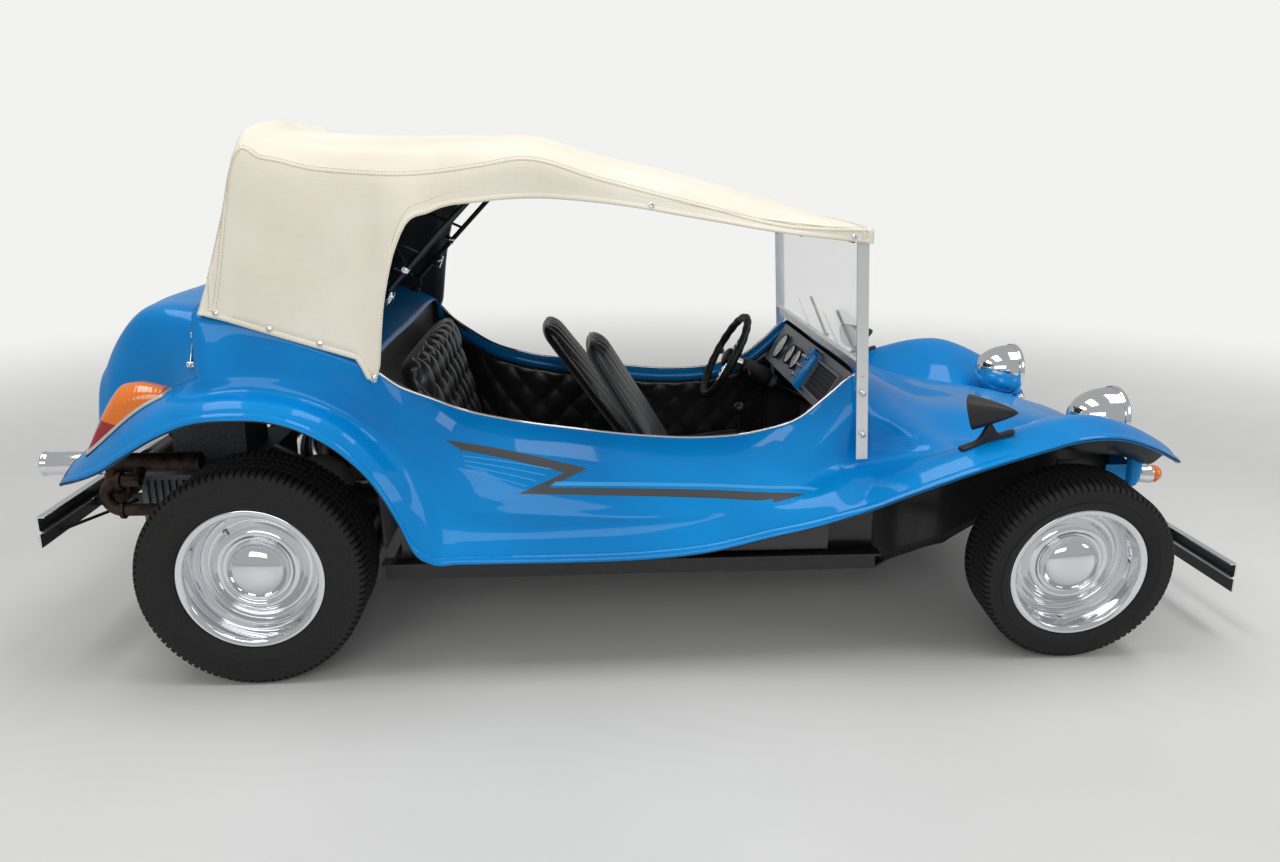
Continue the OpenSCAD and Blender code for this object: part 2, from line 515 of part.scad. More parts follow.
module exhaust() color([0.2, 0.15, 0.12]) {
    for (s = [-1, 1]) {
        translate([ra - rear_overhang, s * tip_y, tip_z]) rotate([0, 90, 0]) difference() {
            cylinder(r = tip_r, h = tip_l);
            translate([0, 0, -1]) cylinder(r = tip_r - 3, h = tip_l - 30);
        }
        translate([ra - rear_overhang + tip_l - 1, s * tip_y, tip_z]) rotate([0, 90, 0]) cylinder(r = 30, h = 300);
    }
    rod([engine_x - 42 - clear, -tip_y, 470], [engine_x - 42 - clear, tip_y, 470], 42);
    for (s = [-1, 1]) rod([engine_x - 42 - clear, s * tip_y, 470], [engine_x - 42 - clear, s * tip_y, tip_z], 28);
    // Header of each bank: out of the head, back round a tight bend and into the silencer, with flanged joints
    for (s = [-1, 1]) translate([bend_x, s * header_y, bend_z]) {
        rotate([90, 0, 0]) rotate([0, 0, 91]) rotate_extrude(angle = 178) translate([bend_r, 0]) circle(r = header_r);
        for (k = [-1, 1]) {
            translate([-6, 0, k * bend_r]) rotate([0, 90, 0]) cylinder(r = header_r + 8, h = 12);
            translate([3, 0, k * bend_r]) rotate([0, 90, 0]) cylinder(r = header_r, h = k > 0 ? 60 : 170);
        }
        rod([50, 0, bend_r], [50, s * (tip_y - header_y), tip_z - bend_z], header_r - 2);
        rod([165, 0, -bend_r], [165, s * (310 - header_y), -bend_r - 20], header_r - 2);
    }
}

// ---------- bumpers ----------
// Pressed blade: two flats with a rib between them and a lip along the top
module blade(half) rotate([90, 0, 0]) linear_extrude(2 * half, center = true)
    polygon([[0, 0], [5, 0], [5, 42], [14, 48], [5, 54], [5, blade_h - 4], [24, blade_h - 4],
        [24, blade_h], [0, blade_h], [0, 55], [7, 48], [0, 41]]);
front_blade_z = 146;
rear_blade_z = 372;
module front_bumper() color("silver") {
    translate([fa + front_overhang, 0, front_blade_z]) mirror([1, 0, 0]) blade(front_bumper_half);
    for (s = [-1, 1]) translate([beam_x + tube_r + clear, s * 260 - 4, front_blade_z + 50])
        cube([front_overhang - (beam_x - fa) - tube_r - clear - 4, 8, 40]);
}
rear_blade_x = ra - 635;
module rear_bumper() color("silver") {
    translate([rear_blade_x, 0, rear_blade_z]) blade(rear_bumper_half);
    for (s = [-1, 1]) translate([rear_blade_x + 4, s * 240 - 4, rear_blade_z + 8])
        cube([engine_x - rear_blade_x - 4 - clear, 8, 40]);
    // Thin struts from the blade's ends to the brackets
    for (s = [-1, 1]) rod([rear_blade_x + 3, s * 480, rear_blade_z + 12], [engine_x - 40, s * 240, rear_blade_z + 24], 5);
}

// ---------- windshield ----------
post_x = fa - screen_back;
post_foot_z = 602;
screen_lean = 2.9;
bar_h = 26;
rail_z = max([for (p = facets_at(cockpit_front_x)) p[1]]) + 2 * clear;
function lean_x(z) = post_x - (z - post_foot_z) * tan(screen_lean);
// Children stand on the posts' feet and lean back with them
module on_posts() translate([post_x, 0, post_foot_z]) rotate([0, -screen_lean, 0]) children();
screen_h = (screen_top_z - clear - post_foot_z) / cos(screen_lean);
rail_h = (rail_z - post_foot_z) / cos(screen_lean) + 0.5;
module windshield_frame() color("silver") {
    on_posts() {
        for (s = [-1, 1]) translate([-post_w / 2, s * screen_half - 4, 0]) cube([post_w, 8, screen_h - 1]);
        for (z = [rail_h, screen_h - bar_h - 1])
            translate([-10, -screen_half + 3, z]) cube([20, 2 * screen_half - 6, bar_h]);
    }
    // Spacers that hold the posts off the body's sides, and their bolt heads
    for (s = [-1, 1]) for (b = [[78, 1], [203, 9]]) let (z = post_foot_z + b[0]) {
        rod([lean_x(z), s * (side_y(lean_x(z), z) + b[1]), z], [lean_x(z), s * screen_half, z], 9);
        rod([lean_x(z), s * screen_half, z], [lean_x(z), s * (screen_half + 9), z], 8);
    }
}
module windshield_glass() color([0.8, 0.9, 0.92, 0.35]) on_posts()
    translate([-3, -screen_half + 4 + clear, rail_h + bar_h + clear])
        cube([6, 2 * (screen_half - 4 - clear), screen_h - 1 - 2 * bar_h - rail_h - 2 * clear]);
module wipers() color([0.05, 0.05, 0.05]) for (y = [-330, 60]) {
    on_skin(post_x + 30, y) cylinder(r = 9, h = 34);
    translate([post_x + 30, y, skin_z(post_x + 30, y)]) translate([10, 0, 30]) rotate([-68, 0, 0]) cylinder(r = 5, h = 260);
}

// ---------- inside ----------
hub_x = fa - 905;
hub_y = 330;
hub_z = 742;
dash_x = fa - 722;
dash_half = 490;
dash_lean = 31;
dash_foot_z = 706;
hanger_s = (hub_z - dash_foot_z) / sin(column_rake) + 132;
hanger_z = hub_z - hanger_s * sin(column_rake);
module dashboard() color([0.25, 0.26, 0.27]) {
    translate([dash_x, 0, dash_foot_z]) rotate([0, dash_lean, 0]) {
        translate([0, -dash_half, 0]) cube([10, 2 * dash_half, 157]);
        for (g = [[-40, 30], [60, 38], [160, 38], [330, 50]])
            translate([1, g[0], 78]) rotate([0, -90, 0]) cylinder(r = g[1], h = 10);
        // Centre box, and a lip round the pocket on the passenger's side
        translate([-30, -145, 14]) cube([31, 70, 128]);
        for (y = [-450, -176]) translate([-14, y, 20]) cube([15, 8, 110]);
        for (z = [20, 122]) translate([-14, -450, z]) cube([15, 282, 8]);
    }
    // Hanger round the column, on a strap from the panel's foot
    translate([hub_x + hanger_s * cos(column_rake), hub_y, hanger_z]) rotate([0, 90 + column_rake, 0])
        difference() {
            cylinder(r = 27, h = 20, center = true);
            cylinder(r = 20 + clear, h = 22, center = true);
        }
    translate([hub_x + hanger_s * cos(column_rake) - 4, hub_y - 14, hanger_z + 26])
        cube([8, 28, dash_foot_z + 6 - hanger_z - 26]);
}

seat_z = floor_z + floor_t + 50;
seat_x_left = fa - 1240;
seat_x_right = fa - 1140;
// One-piece bucket: a deep cushion, and a back that leans from its rear edge
module bucket(x, s, lean) color([0.05, 0.05, 0.055]) translate([x, s * seat_y, seat_z]) {
    hull() {
        for (y = [-1, 1]) translate([60, y * (seat_w / 2 - 60), 0]) cylinder(r = 60, h = 100, $fn = 32);
        for (y = [-1, 1]) translate([420, y * (seat_w / 2 - 50), 30]) cylinder(r = 50, h = 120, $fn = 32);
    }
    translate([40, 0, 100]) rotate([0, -lean, 0]) hull() {
        for (y = [-1, 1]) translate([0, y * (seat_w / 2 - 45), 0]) cylinder(r = 45, h = 330, $fn = 32);
        for (y = [-1, 1]) translate([0, y * 75, 300]) cylinder(r = 36, h = seat_back_h - 300, $fn = 32);
    }
    // Runners that carry it on the floor
    for (y = [-1, 1]) translate([30, y * 140 - 12, floor_z + floor_t + clear - seat_z]) cube([380, 24, 52]);
}
module seat_front_left() bucket(seat_x_left, 1, seat_lean_left);
module seat_front_right() bucket(seat_x_right, -1, seat_lean_right);
rear_seat_w = 940;
rear_cushion_t = 90;
rear_back_h = 430;
module seat_rear() color([0.05, 0.05, 0.055]) {
    translate([cockpit_rear_x + 94, -rear_seat_w / 2, floor_z + tunnel_h + clear]) cube([346, rear_seat_w, rear_cushion_t]);
    translate([cockpit_rear_x + 104, -rear_seat_w / 2, floor_z + tunnel_h + rear_cushion_t + 2 * clear])
        rotate([0, -14, 0]) cube([110, rear_seat_w, rear_back_h]);
}

module steering_column() color([0.75, 0.75, 0.77])
    translate([hub_x, hub_y, hub_z]) rotate([0, 90 + column_rake, 0]) translate([0, 0, 30])
        cylinder(r = 20, h = 340);
module steering_wheel() color([0.06, 0.06, 0.06])
    translate([hub_x, hub_y, hub_z]) rotate([0, 90 + column_rake, 0]) {
        rotate_extrude($fn = 64) translate([wheel_rim_r, 0]) circle(r = 13, $fn = 24);
        cylinder(r = 38, h = 30 - clear);
        for (a = [90, 210, 330]) rotate([0, 0, a]) translate([30, -14, 4]) cube([wheel_rim_r - 36, 28, 5]);
    }
module pedals() color([0.1, 0.1, 0.1]) for (y = [180, 260, 350])
    translate([fa - 600, y - 25, floor_z + floor_t]) {
        translate([0, 18, 0]) cube([10, 14, 170]);
        translate([-8, 0, 110]) cube([10, 50, 60]);
    }
module levers() color([0.1, 0.1, 0.1]) translate([fa - 900, 0, floor_z + tunnel_h + clear]) {
    cylinder(r = 26, h = 12);
    cylinder(r = 7, h = 250);
    translate([0, 0, 250]) sphere(r = 22);
    translate([-190, -20, 0]) cube([60, 40, 14]);
    rod([-170, 0, 8], [0 - 30, 0, 90], 9);
}

// ---------- soft top ----------
// x | ridge z | side seam y, z | lower edge y, z
top_rows = [
    [ra - 92, 1110, 650, 1085, 676, 1062],
    [ra - 54, 1250, 641, 1190, 680, 1053],
    [ra - 18, 1400, 632, 1318, 684, 1044],
    [ra + 22, 1550, 617, 1468, 688, 1032],
    [ra + 100, 1547, 613, 1470, 694, 1008],
    [ra + 220, 1542, 613, 1444, 700, 972],
    [ra + 330, 1539, 613, 1434, 704, 938],
    [ra + 385, 1538, 613, 1431, 704, 918],
    [ra + 403, 1538, 613, 1430, 704, 1067],
    [ra + 424, 1538, 613, 1429, 695, 1175],
    [ra + 456, 1537, 613, 1429, 680, 1269],
    [ra + 538, 1537, 612, 1434, 655, 1329],
    [ra + 672, 1537, 612, 1452, 640, 1355],
    [ra + 790, 1538, 612, 1470, 634, 1364],
    [ra + 993, 1484, 611, 1417, 630, 1352],
    [fa - 1130, 1420, 608, 1347, 628, 1309],
    [fa - 870, 1350, 610, 1288, 622, 1266],
    [fa - 690, screen_top_z + canvas_t + 16, 612, screen_top_z + 5, 618, 1244],
    [fa - 634, screen_top_z + canvas_t + 1.5, 612, screen_top_z + 4, 618, 1238]];
function canvas_z(x) = lookup(x, [for (r = top_rows) [r[0], r[1]]]);
module soft_top() color([0.9, 0.87, 0.8]) {
    grid = [for (r = top_rows) let (
        P = [[0, r[1]], [r[2] * 0.55, r[1] * 0.96 + r[3] * 0.04], [r[2] * 0.93, r[3] * 0.5 + r[1] * 0.5], [r[2], r[3]], [r[4], r[5]]])
        [for (j = [-8 : 8]) let (a = abs(j), k = min(3, floor(a / 2)), p = through(P, k, a / 2 - k))
            [r[0], j < 0 ? p[0] : -p[0], p[1]]]];
    skin(grid, all_cells(len(grid), 17), canvas_t);
}
bow_y = 560;
bow_r = 9;
bow_foot = [ra + 300, skin_z(ra + 300, bow_y) + 36];
pivot_r = 27;
corner_r = 80;
crown_r = 1600;
turn = asin((bow_y - corner_r) / (crown_r - corner_r));
// Where a hoop's crown meets the canvas at x, seen from the foot
function crown_at(x) = [x, canvas_z(x) - canvas_t - bow_r - 0.5] - bow_foot;
// A bent hoop that pivots at the foot: two legs, two corners and a slightly arched crown, under the canvas at x
module hoop(x) {
    c = crown_at(x);
    leg = norm(c) - crown_r + (crown_r - corner_r) * cos(turn);
    translate([bow_foot[0], 0, bow_foot[1]]) rotate([0, atan2(c[0], c[1]), 0]) rotate([90, 0, 90]) {
        translate([0, norm(c) - crown_r, 0]) rotate([0, 0, 90 - turn + asin(1 / crown_r)])
            rotate_extrude(angle = 2 * turn - 2 * asin(1 / crown_r), $fn = 360) translate([crown_r, 0])
                circle(r = bow_r, $fn = 24);
        for (m = [0, 1]) mirror([m, 0, 0]) {
            translate([bow_y - corner_r, leg, 0]) {
                rotate([0, 0, 1]) rotate_extrude(angle = 88 - turn) translate([corner_r, 0]) circle(r = bow_r, $fn = 24);
                // Sleeves join the bent lengths to the straight ones
                for (a = [0, 90 - turn]) rotate([0, 0, a]) translate([corner_r, 0, 0]) rotate([90, 0, 0])
                    cylinder(r = bow_r + 2, h = 20, center = true);
            }
            rod([bow_y, pivot_r - 3, 0], [bow_y, leg - 1, 0], bow_r);
        }
    }
}
front_bow_x = ra + 790;
rear_bow_x = ra + 36;
module top_bows() color([0.04, 0.04, 0.04]) {
    hoop(front_bow_x);
    hoop(rear_bow_x);
    for (s = [-1, 1]) {
        a = bow_foot + 0.4 * crown_at(front_bow_x);
        b = bow_foot + 0.72 * crown_at(rear_bow_x);
        rod([a[0], s * bow_y, a[1]], [b[0], s * bow_y, b[1]], 5);
        // Pivot bracket on the deck
        translate([bow_foot[0] - 18, s * bow_y - 5, bow_foot[1] - 28]) cube([36, 10, 34]);
        on_skin(bow_foot[0], s * bow_y) cylinder(r = 16, h = bow_foot[1] - 16 - skin_z(bow_foot[0], bow_y));
        translate([bow_foot[0], s * bow_y, bow_foot[1]]) rotate([90, 0, 0]) cylinder(r = pivot_r, h = 22, center = true);
    }
}

// ---------- lamps and mirrors ----------
lamp_x = fa + 262;
lamp_y = 388;
lamp_z = 667;
lamp_r = 100;
stand_gap = 1.2;
// Foot half width and height under the lamp, along the stand from its front to its back
stand_rows = [[-18, 8, 86], [-40, 26, 92], [-75, 34, 86], [-105, 26, 72], [-128, 8, 60]];
module headlamp(s) color("silver") {
    // Moulded stand that grows out of the bonnet's flank
    T = [for (r = stand_rows) [for (j = [-3 : 3]) [lamp_x + r[0], s * (lamp_y + r[1] * 0.7 * j / 3), lamp_z - r[2] + 18]]];
    B = [for (r = stand_rows) [for (j = [-3 : 3]) let (x = lamp_x + r[0], y = lamp_y + r[1] * 1.5 * j / 3)
        [x, s * y, skin_z(x, y) + stand_gap]]];
    slab(T, B, s);
    translate([lamp_x, s * lamp_y, lamp_z]) rotate([0, 90, 0])
    rotate_extrude($fn = 64) polygon(concat([[0, 8], [lamp_r - 10, 0], [lamp_r, -6], [lamp_r, -22]],
        [for (k = [1 : 9]) [(lamp_r - 6) * cos(10 * k), -22 - 135 * sin(10 * k)]], [[0, -157]]));
}
module headlamp_left() headlamp(1);
module headlamp_right() headlamp(-1);
module indicators() color("silver") for (s = [-1, 1]) translate([panel_x + clear, s * 430, 484]) rotate([0, 90, 0]) {
    cylinder(r = 30, h = 45);
    translate([0, 0, 45]) sphere(r = 29);
}
// A lens that stands on the wing: rows from the front top corner back, [x from axle, inner y, outer y, height]
tail_rows = [[-215, 625, 650, 14], [-250, 596, 668, 42], [-300, 580, 676, 60], [-350, 574, 680, 66],
    [-400, 574, 682, 56], [-425, 580, 680, 24]];
module tail_lamp(s) color("orangered") {
    top = [for (r = tail_rows) [for (j = [0 : 4]) let (y = r[1] + (r[2] - r[1]) * j / 4)
        [ra + r[0], s * y, skin_z(ra + r[0], y) + 7 + r[3] * (0.35 + 0.65 * sin(36 + 108 * j / 4))]]];
    base = [for (r = tail_rows) [for (j = [0 : 4]) let (y = r[1] + (r[2] - r[1]) * j / 4)
        [ra + r[0], s * y, skin_z(ra + r[0], y) + 7]]];
    slab(top, base, s);
    for (x = [-300, -380]) on_skin(ra + x, s * 628) cylinder(r = 9, h = 14);
}
module tail_lamp_left() tail_lamp(1);
module tail_lamp_right() tail_lamp(-1);
mirror_x = fa - 285;
mirror_y = 690;
module mirrors() color([0.07, 0.07, 0.07]) for (s = [-1, 1]) {
    translate([mirror_x - 62, s * mirror_y, 762]) rotate([0, 90, 0]) cylinder(r1 = 52, r2 = 22, h = 130);
    foot = [for (x = [mirror_x + 66, mirror_x + 25, mirror_x - 25, mirror_x - 66])
        [for (y = [mirror_y - 14, mirror_y + 14]) [x, s * y, skin_z(x, y) + 6]]];
    slab([for (r = foot) [for (q = r) q + [0, 0, 10]]], foot, s);
    on_skin(mirror_x, s * mirror_y) cylinder(r = 10, h = 12);
    translate([mirror_x, s * mirror_y, foot[1][0][2] + 1]) cylinder(r = 11, h = 762 - 30 - foot[1][0][2]);
}

body_shell();
front_panel();
engine_cover();
cockpit_tub();
floor_pan();
front_beam();
rear_suspension();
engine();
exhaust();
front_bumper();
rear_bumper();
windshield_frame();
windshield_glass();
wipers();
dashboard();
seat_front_left();
seat_front_right();
seat_rear();
steering_column();
steering_wheel();
pedals();
levers();
soft_top();
top_bows();
headlamp_left();
headlamp_right();
indicators();
tail_lamp_left();
tail_lamp_right();
mirrors();
knuckle_left();
knuckle_right();
track_rod();
tyre_front_left();
tyre_front_right();
tyre_rear_left();
tyre_rear_right();
rim_front_left();
rim_front_right();
rim_rear_left();
rim_rear_right();
cover_hinges();
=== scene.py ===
# %% [markdown]
# # A dune buggy, dressed
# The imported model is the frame: it fixes every size and every moving body. This lesson dresses
# it piece by piece: a moulded body, a cloth top, chrome wheels and the running gear beneath.
# Shapes are worked out in millimetres, and each mesh turns them into metres as it is made.

# %% Load the frame
import math
import bmesh
import bpy
import numpy as np
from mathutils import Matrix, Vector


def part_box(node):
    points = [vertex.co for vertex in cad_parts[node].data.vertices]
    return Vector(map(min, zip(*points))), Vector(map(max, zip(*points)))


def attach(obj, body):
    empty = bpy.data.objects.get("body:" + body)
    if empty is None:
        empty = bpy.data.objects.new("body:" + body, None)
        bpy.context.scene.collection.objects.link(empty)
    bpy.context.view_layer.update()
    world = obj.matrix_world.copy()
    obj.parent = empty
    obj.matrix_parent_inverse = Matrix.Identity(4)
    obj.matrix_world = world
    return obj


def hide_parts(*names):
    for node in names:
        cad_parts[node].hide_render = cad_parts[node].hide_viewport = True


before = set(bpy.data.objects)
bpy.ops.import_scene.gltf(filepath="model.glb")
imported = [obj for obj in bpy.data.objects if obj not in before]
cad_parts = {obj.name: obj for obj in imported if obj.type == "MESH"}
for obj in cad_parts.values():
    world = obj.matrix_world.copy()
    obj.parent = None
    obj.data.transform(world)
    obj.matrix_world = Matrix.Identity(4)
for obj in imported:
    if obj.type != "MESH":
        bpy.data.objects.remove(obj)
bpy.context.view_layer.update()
MM = 0.001

# %% [markdown]
# ## Camera
# The camera comes first, because everything else is judged through it. It stands off the
# right side at about eye height and looks slightly down with a moderately wide lens.

# %% Camera
camera = bpy.data.objects.new("camera", bpy.data.cameras.new("camera"))
bpy.context.collection.objects.link(camera)
camera.data.lens, camera.data.sensor_width, camera.data.clip_end = 28.397, 36.0, 60
camera.location = (-0.222, -3.4505, 1.46)
look_down, roll, turn_right = 14.937, -0.109, -3.73
camera.rotation_euler = (math.radians(90 - look_down), math.radians(roll), math.radians(turn_right))
bpy.context.scene.camera = camera

# %% [markdown]
# ## Small helpers for meshes
# A piece is one mesh made of patches. A patch is a grid of points in millimetres, with row,
# column, then x, y, z. It also says whether its rows and its columns close on themselves, and
# which of the piece's materials it wears. Neighbouring points make quads.

# %% Patches to mesh
def quads(rows, columns, wrap_rows, wrap_columns):
    """Quads of a grid: corner (i, j) joins (i, j+1), (i+1, j+1) and (i+1, j), counted round where a side wraps."""
    i, j = np.meshgrid(np.arange(rows - (not wrap_rows)), np.arange(columns - (not wrap_columns)), indexing="ij")
    near, far, left, right = i % rows, (i + 1) % rows, j % columns, (j + 1) % columns
    corners = [near * columns + left, near * columns + right, far * columns + right, far * columns + left]
    return np.stack(corners, -1).reshape(-1, 4)


def weld(mesh, distance, outward):
    """Joins points nearer than the distance, in metres; outward also turns every face out."""
    loose = bmesh.new()
    loose.from_mesh(mesh)
    bmesh.ops.remove_doubles(loose, verts=loose.verts, dist=distance)
    if outward:
        bmesh.ops.dissolve_degenerate(loose, edges=loose.edges, dist=1e-6)
        bmesh.ops.recalc_face_normals(loose, faces=loose.faces)
    loose.to_mesh(mesh)
    loose.free()


def piece(name, patches, materials, body="root", replaces=None, outward=True, crisp=0):
    """One object from patches; edges that turn by more than crisp degrees stay sharp under smooth shading."""
    points, faces, parts, count = [], [], [], 0
    for grid, wrap_rows, wrap_columns, part in patches:
        cells = quads(*grid.shape[:2], wrap_rows, wrap_columns)
        points.append(grid.reshape(-1, 3) * MM)
        faces.append(cells + count)
        parts.append(np.full(len(cells), part, np.int32))
        count += len(points[-1])
    mesh = bpy.data.meshes.new(name)
    mesh.from_pydata(np.concatenate(points).tolist(), [], np.concatenate(faces).tolist())
    for material in materials if isinstance(materials, list) else [materials]:
        mesh.materials.append(material)
    mesh.polygons.foreach_set("material_index", np.concatenate(parts))
    mesh.polygons.foreach_set("use_smooth", np.full(len(mesh.polygons), True))
    if outward:
        weld(mesh, 1e-5, True)
    mesh.update()
    if crisp:
        mesh.set_sharp_from_angle(angle=math.radians(crisp))
    thing = bpy.data.objects.new(name, mesh)
    bpy.context.collection.objects.link(thing)
    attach(thing, body)
    if replaces:
        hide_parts(replaces)
    return thing


def thicken(thing, wall, side=-1.0, slot_offset=0):
    """Gives a sheet a wall in mm: side -1 grows it inward, +1 outward, 0 both ways."""
    solid = thing.modifiers.new("wall", "SOLIDIFY")
    solid.thickness, solid.offset, solid.use_even_offset = wall * MM, side, True
    solid.material_offset = slot_offset

# %% [markdown]
# A few families of patch do most of the work: a profile turned about an axis, a ring carried
# along a path, a rounded block, and an open sheet. Each is worked out for all points together.

# %% Patches
def unit(v):
    """Vectors divided by their length."""
    return v / np.maximum(np.linalg.norm(v, axis=-1, keepdims=True), 1e-12)


def around(steps):
    """Angles evenly round a full turn."""
    return np.linspace(0, 2 * math.pi, steps, endpoint=False)


def xyz(x, y, z):
    """Points from three coordinates that may be numbers or arrays of matching shape."""
    return np.stack(np.broadcast_arrays(x, y, z), -1).astype(float)


def sheet(grid, part=0):
    """An open sheet."""
    return np.asarray(grid, float), False, False, part


def sleeve(grid, part=0):
    """A grid whose columns close into rings."""
    return np.asarray(grid, float), False, True, part


def closed(rings, first=0.0, last=0.0):
    """Rings with a point added in the middle of both ends, moved there by first and last."""
    low, high = (rings[[k]].mean(axis=1, keepdims=True) + 0 * rings[:1] for k in (0, -1))
    return np.concatenate([low + first, rings, high + last])


def turned(profile, centre, axis, steps=64, part=0):
    """A profile of (radius, height) turned about an axis: centre + height * axis + radius * (cos, sin) across it."""
    profile, axis = np.asarray(profile, float), unit(np.asarray(axis, float))
    side = np.array((1.0, 0, 0) if abs(axis[0]) < 0.9 else (0, 0, 1.0))
    side = unit(side - axis * (side @ axis))
    angle = around(steps)[:, None, None]
    ring = np.cos(angle) * side + np.sin(angle) * np.cross(axis, side)
    return np.asarray(centre, float) + profile[None, :, 1:] * axis + profile[None, :, :1] * ring, True, False, part


def hermite(here, there, leave, arrive, t):
    """Cubic from here to there whose slopes at the ends are leave and arrive."""
    return (here * (2*t**3 - 3*t**2 + 1) + there * (3*t**2 - 2*t**3)
            + leave * (t**3 - 2*t**2 + t) + arrive * (t**3 - t**2))


def curve(points, steps):
    """A smooth path through points, by cubics whose slope at a point is half the step between its neighbours."""
    p = np.asarray(points, float)
    slope = np.gradient(p, axis=0)
    t = np.linspace(0, len(p) - 1, steps)
    k = np.minimum(t.astype(int), len(p) - 2)
    return hermite(p[k], p[k + 1], slope[k], slope[k + 1], (t - k)[:, None])


def tube(path, radius, sides=16, part=0, capped=True, flat=1.0, up=(0, 0, 1)):
    """A ring carried along a path: path + radius * (cos * across + flat * sin * over). Capped ends shrink to
    a point."""
    path = np.asarray(path, float)
    radius = np.broadcast_to(np.asarray(radius, float), len(path))
    forward = unit(np.gradient(path, axis=0))
    if capped:
        path, forward = path[[0, *range(len(path)), -1]], forward[[0, *range(len(path)), -1]]
        radius = np.concatenate([[0.001], radius, [0.001]])
    up = np.broadcast_to(np.asarray(up, float), path.shape)
    across = unit(np.cross(forward, up + 1e-4 * np.array([0.3, 0.7, 0.2])))
    over = np.cross(across, forward)
    angle = around(sides)[None, :, None]
    return sleeve(path[:, None] + radius[:, None, None] * (
        np.cos(angle) * across[:, None] + flat * np.sin(angle) * over[:, None]), part)


def block(low, high, round_by, steps=4, part=0):
    """A box with rounded edges: a rounded rectangle stacked up, with its ends drawn in."""
    low, high = np.asarray(low, float), np.asarray(high, float)
    middle, half = (low + high) / 2, (high - low) / 2
    r = min(round_by, half.min() * 0.98)
    quarter, right = np.linspace(0, math.pi / 2, steps + 1), math.pi / 2
    ring = np.concatenate([
        np.stack([r * np.cos(quarter + turn), r * np.sin(quarter + turn)], -1) + (half[:2] - r) * sign
        for sign, turn in (((1, 1), 0), ((-1, 1), right), ((-1, -1), 2 * right), ((1, -1), 3 * right))])
    lift = np.linspace(-right, 0, steps + 1)
    inset = r * (1 - np.cos(lift))
    rise = half[2] - r * (1 + np.sin(lift))
    shrink = (half[:2] - np.concatenate([inset, inset[::-1]])[:, None]) / half[:2]
    shrink = np.concatenate([[[0, 0]], shrink, [[0, 0]]])
    height = np.concatenate([[-half[2]], -rise, rise[::-1], [half[2]]])[:, None]
    flat = ring[None] * shrink[:, None]
    return sleeve(middle + xyz(flat[..., 0], flat[..., 1], height), part)


def rounded(points, radius, steps=3):
    """A polyline with each corner replaced by a small parabola that leaves the sides up to radius away from it."""
    p = [np.asarray(q, float) for q in points]
    result, t = [p[0]], np.linspace(0, 1, steps + 1)[:, None]
    for before, corner, after in zip(p[:-2], p[1:-1], p[2:]):
        start, stop = (corner + way * min(0.5, radius / max(np.linalg.norm(way), 1e-9))
                       for way in (before - corner, after - corner))
        result += list(start * (1 - t) ** 2 + corner * 2 * t * (1 - t) + stop * t ** 2)
    return np.array(result + [p[-1]])


def ellipse(radius, length, steps):
    """A quarter ellipse as (radius, height) pairs: radius * cos a, length * sin a."""
    a = np.radians(np.linspace(0, 90, steps))
    return np.stack([np.maximum(radius * np.cos(a), 0.05), length * np.sin(a)], -1)


def pushed(c, power):
    """A cosine or sine pushed toward a square corner: sign(c) * |c| ** power."""
    return np.sign(c) * np.abs(c) ** power


def arc_length(line):
    """Distance along a line at each of its points."""
    return np.concatenate([[0], np.cumsum(np.linalg.norm(np.diff(line, axis=0), axis=1))])

# %% [markdown]
# ## Materials
# Every finish starts from what the real one is. Colours are written as sRGB hex, as on a paint
# chip, and one function turns them into the linear numbers that light is reckoned in. Patterns
# lie on Object coordinates, so their scale is in patterns per metre.

# %% Colour and node helpers
def linear(code):
    """sRGB hex to linear RGBA: each channel c becomes ((c + 0.055) / 1.055) ** 2.4, or c / 12.92 near black."""
    c = np.array([int(code[i:i + 2], 16) / 255 for i in (1, 3, 5)])
    return tuple(np.where(c > 0.04045, ((c + 0.055) / 1.055) ** 2.4, c / 12.92)) + (1.0,)


def add(tree, kind, links=None, **settings):
    """Adds one node: attributes and input values by name, and links from {input: (node, output)}."""
    node = tree.nodes.new("ShaderNode" + kind)
    for name, value in settings.items():
        if hasattr(node, name):
            setattr(node, name, value)
        else:
            node.inputs[name.replace("_", " ")].default_value = value
    for socket, (source, output) in (links or {}).items():
        tree.links.new(source.outputs[output], node.inputs[socket])
    return node


def pattern(tree, kind, stretch=(1, 1, 1), **settings):
    """A texture on Object coordinates."""
    mapped = add(tree, "Mapping", {"Vector": (add(tree, "TexCoord"), "Object")}, Scale=stretch)
    return add(tree, "Tex" + kind, {"Vector": (mapped, "Vector")}, **settings)


def relief(tree, shader, source, output, depth, strength=1.0, sockets=("Normal",)):
    """Bump of a depth in mm, taken from a pattern."""
    bump = add(tree, "Bump", {"Height": (source, output)}, Distance=depth * MM, Strength=strength)
    for socket in sockets:
        tree.links.new(bump.outputs["Normal"], shader.inputs[socket])


def two_tone(tree, shader, source, output, low, high, start=0.35, stop=0.65):
    """Lets a pattern slide the base colour between two chips."""
    ramp = add(tree, "ValToRGB", {"Fac": (source, output)})
    for stop_point, place, chip in zip(ramp.color_ramp.elements, (start, stop), (low, high)):
        stop_point.position, stop_point.color = place, linear(chip)
    tree.links.new(ramp.outputs["Color"], shader.inputs["Base Color"])


def nodes_of(material):
    """The node tree of a finish and its Principled surface."""
    return material.node_tree, material.node_tree.nodes["Principled BSDF"]


